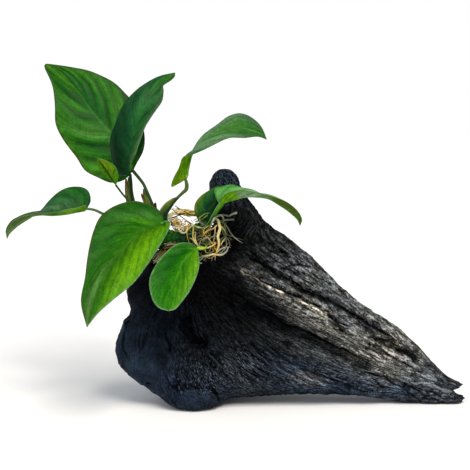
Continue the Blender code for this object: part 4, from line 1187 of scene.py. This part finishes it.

# %% [markdown]
# ## The roots
#
# Fine roots spring from the rhizome and curl over each other in a tuft before they find the wood. Real
# ones are a third of a millimetre to two millimetres thick, cream to golden when young and olive or brown
# later. They could be grown by a particle system. Here the ones that the eye picks out are laid one by one,
# and loose loops and hairs are scattered between them, with the dark wood left to show through.

# %% The roots that are laid one by one: radii, shades and the points of each
TANGLE_ROOTS = """
    0.8 1 0.95 0.8 0.5: ash cream cream cream gold: -13 -21.5 132.7, -11.3 -23 131.3, -10.7 -25.1 128.8,
      -10.1 -26.1 126.6, -10.8 -27.3 124.4, -11.6 -28.1 121.3, -11 -28.1 118.2, -11 -27.9 115,
      -12 -27.5 112.2, -13 -26.6 109.3;
    0.5 0.75 0.7 0.4: moss bone bone moss: -16.9 -26.7 127.4, -15.7 -25.2 130, -14.2 -22.4 132.4,
      -11.9 -19.5 134.2, -9.2 -19.5 134.6, -7.8 -19.5 132, -8.4 -22 129.6;
    0.4 0.5 0.3: cream amber gold moss: -12.4 -25.1 128.4, -14.9 -26.6 126.2, -17.6 -26.9 125.5,
      -20 -27.2 124, -21.5 -27.3 122, -22.3 -27.2 120.4;
    0.35 0.4 0.3: cream ash gold: -13.4 -25.6 127.3, -13.6 -26.8 123.9, -13.8 -27.3 121.2,
      -14.3 -27.5 118.5, -14 -27.3 115.7;
    0.35 0.4 0.35: ash bone ash moss: -21.9 -26.9 117.6, -20.8 -27.1 120, -18.4 -27.4 120.3,
      -16.9 -27.5 118.5, -17.1 -27.4 116.5, -19.2 -27.2 115.3, -21.6 -26.9 116.1;
    0.4 0.5 0.35: sprout gold cream: -27.6 -20.2 128.1, -28.3 -21 126.7, -28.5 -23.2 123.4,
      -28.7 -23.8 120.7, -27.9 -24.7 118.1, -26.7 -25.3 115.8;
    0.35 0.45 0.35: ash cream cream: -26.9 -24.1 123.9, -27.1 -24.8 119.3, -26.3 -25.2 116.6,
      -25.3 -25.4 114.3;
    0.3 0.35 0.3: dim cream amber: -31.2 -19 118.9, -29.1 -23.6 118.7, -27.5 -24.9 116.9;
    0.25 0.3 0.25: ash bone ash: -27.1 -23 126.5, -23.9 -25.1 126.7, -20.8 -26 126.9;
    0.35 0.45 0.4: sprout gold cream gold: -25.5 -26.3 114.6, -22.3 -27.4 114, -19.2 -27.9 113.4,
      -16.9 -28.1 114.1, -14.5 -28.2 115.5, -13.4 -28.1 117;
    0.3 0.35 0.3: gold ash amber: -20.4 -26.8 112.1, -19.6 -26.2 110, -16.9 -26.3 109.7, -15 -26.6 110.9,
      -13.8 -27.1 112.9;
    0.35 0.4 0.35: cream moss ash bone: -9.5 -24.1 127.9, -7.6 -24.1 125.5, -6.4 -24.4 122.4,
      -6.2 -24.7 119.3, -5.8 -24.2 116.1, -6 -23.7 113.6, -7.6 -24.1 111.3;
    0.25 0.3 0.2: sprout dim ash: -8.9 -24.1 126.3, -7.9 -24.8 122.5, -7 -24.6 120.1, -7.2 -24.8 117.3;
    0.3 0.35 0.3: cream cream ash: -9.5 -26.1 115.5, -7.9 -25.6 118.2, -6.4 -24.5 119.7;
    0.4 0.55 0.35: cream bone bone: -12.6 -25.9 110, -10.7 -25.9 111.6, -8.7 -25.4 112.7, -6.2 -23.9 113.4;
    0.3 0.35 0.3: ash bone ash: -11.9 -24.7 109, -9.5 -24.1 109.7, -7.6 -23.8 111.7, -6.4 -23.5 113.2;
    0.4 0.45 0.3: gold rust amber: -16.1 -28.2 117.4, -14.9 -27.9 115.4, -15.3 -27.5 113, -14.2 -26.6 110.5;
    0.35 0.4 0.3: cream amber gold: -13 -27.5 116.5, -14.2 -27.5 114.6, -13 -26.7 112.1;
    0.2 0.25 0.15: ash cream: -17.4 -23.2 105.2, -15.4 -24.4 106.6, -13 -24.8 107.8;
    0.15 0.25 0.2: bone moss: -16.1 -19 103.1, -15.4 -23.5 105.7, -15 -25 107.5;
    0.15 0.25 0.2: bone cream: -13.7 -19 103.5, -13.5 -23.9 106.5, -13.4 -25.4 108.7;
    0.3 0.35 0.3: moss sprout ash: -28.2 -18 131, -24 -19 133.2, -20.5 -19.5 135.6, -17.5 -19 136.1;
    0.3 0.35 0.25: sprout moss sprout: -27 -18.5 129.8, -24 -19.5 130.8, -21.2 -20 132.9, -18.8 -19 134.6;
    0.25 0.3 0.25: moss moss: -15 -22 131, -17 -23 128, -19.5 -23 124, -19 -23 120"""
BUNDLE_ROOTS = """
    0.3 0.8 0.7: bone cream gold: -46.5 -8 130, -43 -8.5 130.2, -40 -8 131.2;
    0.4 0.55 0.4: thread thread thread: -46.2 -10.5 131.3, -43.4 -10.5 131.8, -40.6 -10.5 132.7,
      -37.9 -10.5 134.2;
    0.5 0.6 0.5: gold cream gold amber sprout: -43.5 -6.8 135.2, -39.5 -7.5 135.1, -36.3 -7.6 135.3,
      -33.1 -7.8 134.5, -29.9 -7.7 134.1, -27.6 -7.5 133.3, -25.2 -7.3 132, -23.6 -6.6 132.2;
    0.45 0.6 0.5: gold amber gold: -38.3 -5.9 136, -35.5 -6.3 135.6, -32.4 -6.4 135.6, -29.6 -5.8 135.7,
      -27.6 -6.1 134.6;
    0.35 0.4 0.35: dim sprout moss: -27.9 -10.3 134, -24.3 -10.1 131.6, -21.2 -9 132.4, -19.6 -8 134.4;
    0.35 0.4 0.35: moss sprout moss: -27.4 -12.2 129.1, -25.1 -11.6 130.2, -22.3 -10.3 131, -19.6 -9 132.5;
    0.3 0.3 0.28: thread bark thread: -41.5 -5 139.4, -38.3 -6.4 137.5, -34.7 -8.3 135.8, -31.5 -9 133.9;
    0.28 0.3 0.3: thread thread thread: -43.5 -5.5 137.4, -40.2 -9.2 134.7, -37 -10.1 132.4,
      -33 -10.4 129.6, -29.9 -10.1 127.6;
    0.5 0.7 0.6: gold cream bone cream amber: -39.1 -12 127.6, -38.6 -15 124.6, -36.9 -17 122.6,
      -34.4 -17 122.2, -32.7 -16 124, -32.3 -14 126.6;
    0.3 0.35 0.3: rust gold amber: -44 -8 129, -42 -9 127.4, -40 -9 127.6, -38.6 -8.6 129"""


def as_root(points, radii, shades):
    """A root for add_tubes, with a ring about every millimetre."""
    spread = np.interp(np.linspace(0, 1, len(points)), np.linspace(0, 1, len(radii)), radii)
    reach = sum(math.dist(a, b) for a, b in zip(points, points[1:]))
    way = [(*p, r) for p, r in zip(points, spread)]
    return way, shades, (), dict(rings=max(8, int(reach / 0.9)), sides=7)


def laid(text):
    """The roots of a table."""
    return [as_root(points, radii, shades) for [radii], [shades], points in rows(text)]


# %% Loose loops and hairs between them
def knotted(rng, centre, reach, hollow):
    """Part of a loop in a tuft, at the tuft's face, at least a hollow's width from its middle."""
    turn, sweep = rng.uniform(0, 2 * math.pi), rng.uniform(1.6, 3.6) * rng.choice((-1, 1))
    radius, lean = rng.uniform(0.25, 0.6), rng.uniform(-0.4, 0.4)
    away = rng.uniform(0, 2 * math.pi)
    far = rng.uniform(hollow, 0.75)
    points = []
    for k in range(6):
        angle = turn + sweep * k / 5
        u = far * math.cos(away) + radius * math.cos(angle) + rng.uniform(-0.06, 0.06)
        v = far * math.sin(away) + radius * math.sin(angle) * 0.9 + rng.uniform(-0.06, 0.06)
        face = math.sqrt(max(0.0, 1 - min(1, u * u + v * v)))
        points.append((centre[0] + reach[0] * u, centre[1] - reach[1] * (0.8 * face + lean * u),
                       centre[2] + reach[2] * v))
    return points


def loops(rng, count, sizes, choices, *tuft):
    """Loose loops of a tuft, with radii between two sizes and shades from some choices."""
    found = []
    for _ in range(int(count)):
        size = rng.uniform(*sizes)
        shades = rng.choice(choices)
        found.append(as_root(knotted(rng, *tuft), (size, size, size * 0.6), shades))
    return found


def hair(rng, centre, reach):
    """A short hair that points out of a tuft."""
    away = rng.uniform(0, 2 * math.pi)
    points = []
    for k in range(4):
        far = 0.8 + 0.14 * k
        away += rng.uniform(-0.12, 0.12)
        points.append((centre[0] + reach[0] * far * math.cos(away), centre[1] - reach[1] * (0.6 - 0.16 * k),
                       centre[2] + reach[2] * far * math.sin(away)))
    return points


rng = random.Random(31)

# %% The tangle in front of the rhizome
TANGLE_CENTRE, TANGLE_REACH, TANGLE_HOLLOW = (-17, -18, 118.5), (12.5, 9, 13.5), 0.25
LOOP_SHADES = table("""
    dim moss, ash dim, moss sprout, amber dim, gold amber, dim ash dim, rust dim, bone ash, cream gold dim,
    sprout cream""")
HAIR_SHADES = table("dim ash, moss ash, ash bone")

roots = laid(TANGLE_ROOTS)
roots += loops(rng, 46, (0.14, 0.32), LOOP_SHADES, TANGLE_CENTRE, TANGLE_REACH, TANGLE_HOLLOW)
for _ in range(26):
    roots.append(as_root(hair(rng, TANGLE_CENTRE, TANGLE_REACH), (0.2, 0.12, 0.08), rng.choice(HAIR_SHADES)))
add_tubes("fine_root_tangle", roots, root_skin, "root", ["root_tangle"])

# %% The bundle behind the rhizome, and the old brown roots under it
FAN_SHADES = table("cream cream gold, bone cream cream")
STRAND_SHADES = table("gold amber, cream gold, cream cream, cream gold amber, sprout gold")
KNOT_SHADES = table("gold cream, amber gold, cream bone, cream cream, rust amber, dim gold")
# knots: centre, reach, hollow and number of loops
KNOTS = rows("""
    -36.2 -10 126.2: 5.8 5 5: 0.5 34;
    -41.5 -9 128.6: 4.4 3 3: 0 26;
    -32 -12 125: 3 3 3: 0 12""")
# old roots: start, way along, number and choice of shades
OLD_ROOTS = rows("""
    -48 -20 113.2: 8 0 1.5: 10: khaki dim, ash khaki, bone rust, rust dim;
    -54.5 -20 103: 6 0 7: 14: rust amber, amber rust, amber khaki, bone dim""")

roots = laid(BUNDLE_ROOTS)
for _ in range(16):  # a pale fan of strands at its left end
    points = [(-47.6 + rng.uniform(-0.4, 0.4), -8, 131.9 + rng.uniform(-0.3, 0.3)),
              (-44, -8 + rng.uniform(-1, 1), 132.9 + rng.uniform(-0.3, 1.9)),
              (-39.5, -8 + rng.uniform(-1, 1), 134.7 + rng.uniform(-0.6, 1.9)),
              (-33 + rng.uniform(-2, 2), -7 + rng.uniform(-1, 1), 136 + rng.uniform(-1.2, 1.0))]
    roots.append(as_root(points, (0.35, 0.45, 0.3), rng.choice(FAN_SHADES)))
for _ in range(26):  # golden strands along its upper edge
    z = rng.uniform(133.5, 137.8)
    points = [(x + rng.uniform(-0.8, 0.8), rng.uniform(-8, -3), z - (x + 44) * 0.1 + rng.uniform(-0.6, 0.6))
              for x in np.linspace(rng.uniform(-45, -38), rng.uniform(-31, -22), 6)]
    roots.append(as_root(points, (0.2, 0.34, 0.18), rng.choice(STRAND_SHADES)))
for [centre], [reach], [(hollow, count)] in KNOTS:
    roots += loops(rng, count, (0.22, 0.48), KNOT_SHADES, centre, reach, hollow)
for [start], [along_way], [(count,)], choices in OLD_ROOTS:
    for _ in range(int(count)):
        first = [start[i] + rng.uniform(-1.8, 1.8) * (1, 0.6, 0.8)[i] for i in range(3)]
        points = [tuple(first[i] + along_way[i] * t + rng.uniform(-0.5, 0.5) for i in range(3))
                  for t in np.linspace(0, 1, 5)]
        roots.append(as_root(points, (0.3, 0.5, 0.25), rng.choice(choices)))
add_tubes("fine_root_bundle", roots, root_skin, "root", ["root_bundle"])

# %% The single roots: the node of each, and its roots as above
SINGLE_ROOTS = {
    "right_root": ("root_right", """
        0.5 0.55 0.45 0.35 0.2: moss ash ash bone ash: -8 -19 131, -6.2 -20.4 127.8, -4.5 -19.5 125.2,
          -3.3 -19.5 122.8, -1.7 -19.5 120.8, 0.2 -19.5 118.9, 2.2 -19.5 117.3, 5.2 -19.5 115.5;
        0.35 0.35 0.3: ash dim ash: -7.6 -23.5 125.8, -5.6 -23.2 122.2, -3.7 -20.9 120.7, -0.9 -19.5 120,
          0.4 -19.5 118.7;
        0.25 0.2 0.15: ash dim: 0.2 -19.5 118.9, 2.5 -19.5 118.7, 5.4 -19.4 117.6"""),
    "low_root": ("root_low", """
        0.45 0.75 0.7 0.65 0.4: bone bone cream bone ash: -4.8 -22.8 113.3, -5.6 -21.8 110.5,
          -7.6 -22.8 108.7, -10.3 -24.4 108, -13 -25.9 108.6, -15.4 -26.3 108.7, -18.1 -25.9 107.8,
          -21.3 -24.7 107, -23 -21 104.6, -24.6 -20 103;
        0.3 0.4 0.3: bone bone: -25.8 -20 102.9, -24.2 -20.4 102.1, -22.8 -20 101.4;
        0.25 0.3 0.2: bone ash: -20 -25 107.3, -23.5 -25 106.6, -26.5 -24 104"""),
    "white_stubs": ("root_stub", """
        0.4 0.6 0.6 0.9: moss ash ash bone: -13 -18 133, -8.8 -19.5 135.1, -6.4 -20 134.7, -4.1 -20 134.3,
          -2.1 -20 135.5, 0.8 -20 136.5;
        0.4 0.7 0.55: moss ash ash: -12 -18 130, -8.4 -19.5 131.1, -6.4 -20 131.5, -4.1 -20 131.7,
          -0.9 -19.5 131.7"""),
}

for name, (node, text) in SINGLE_ROOTS.items():
    add_tubes(name, laid(text), root_skin, "root", [node])

bpy.context.view_layer.update()
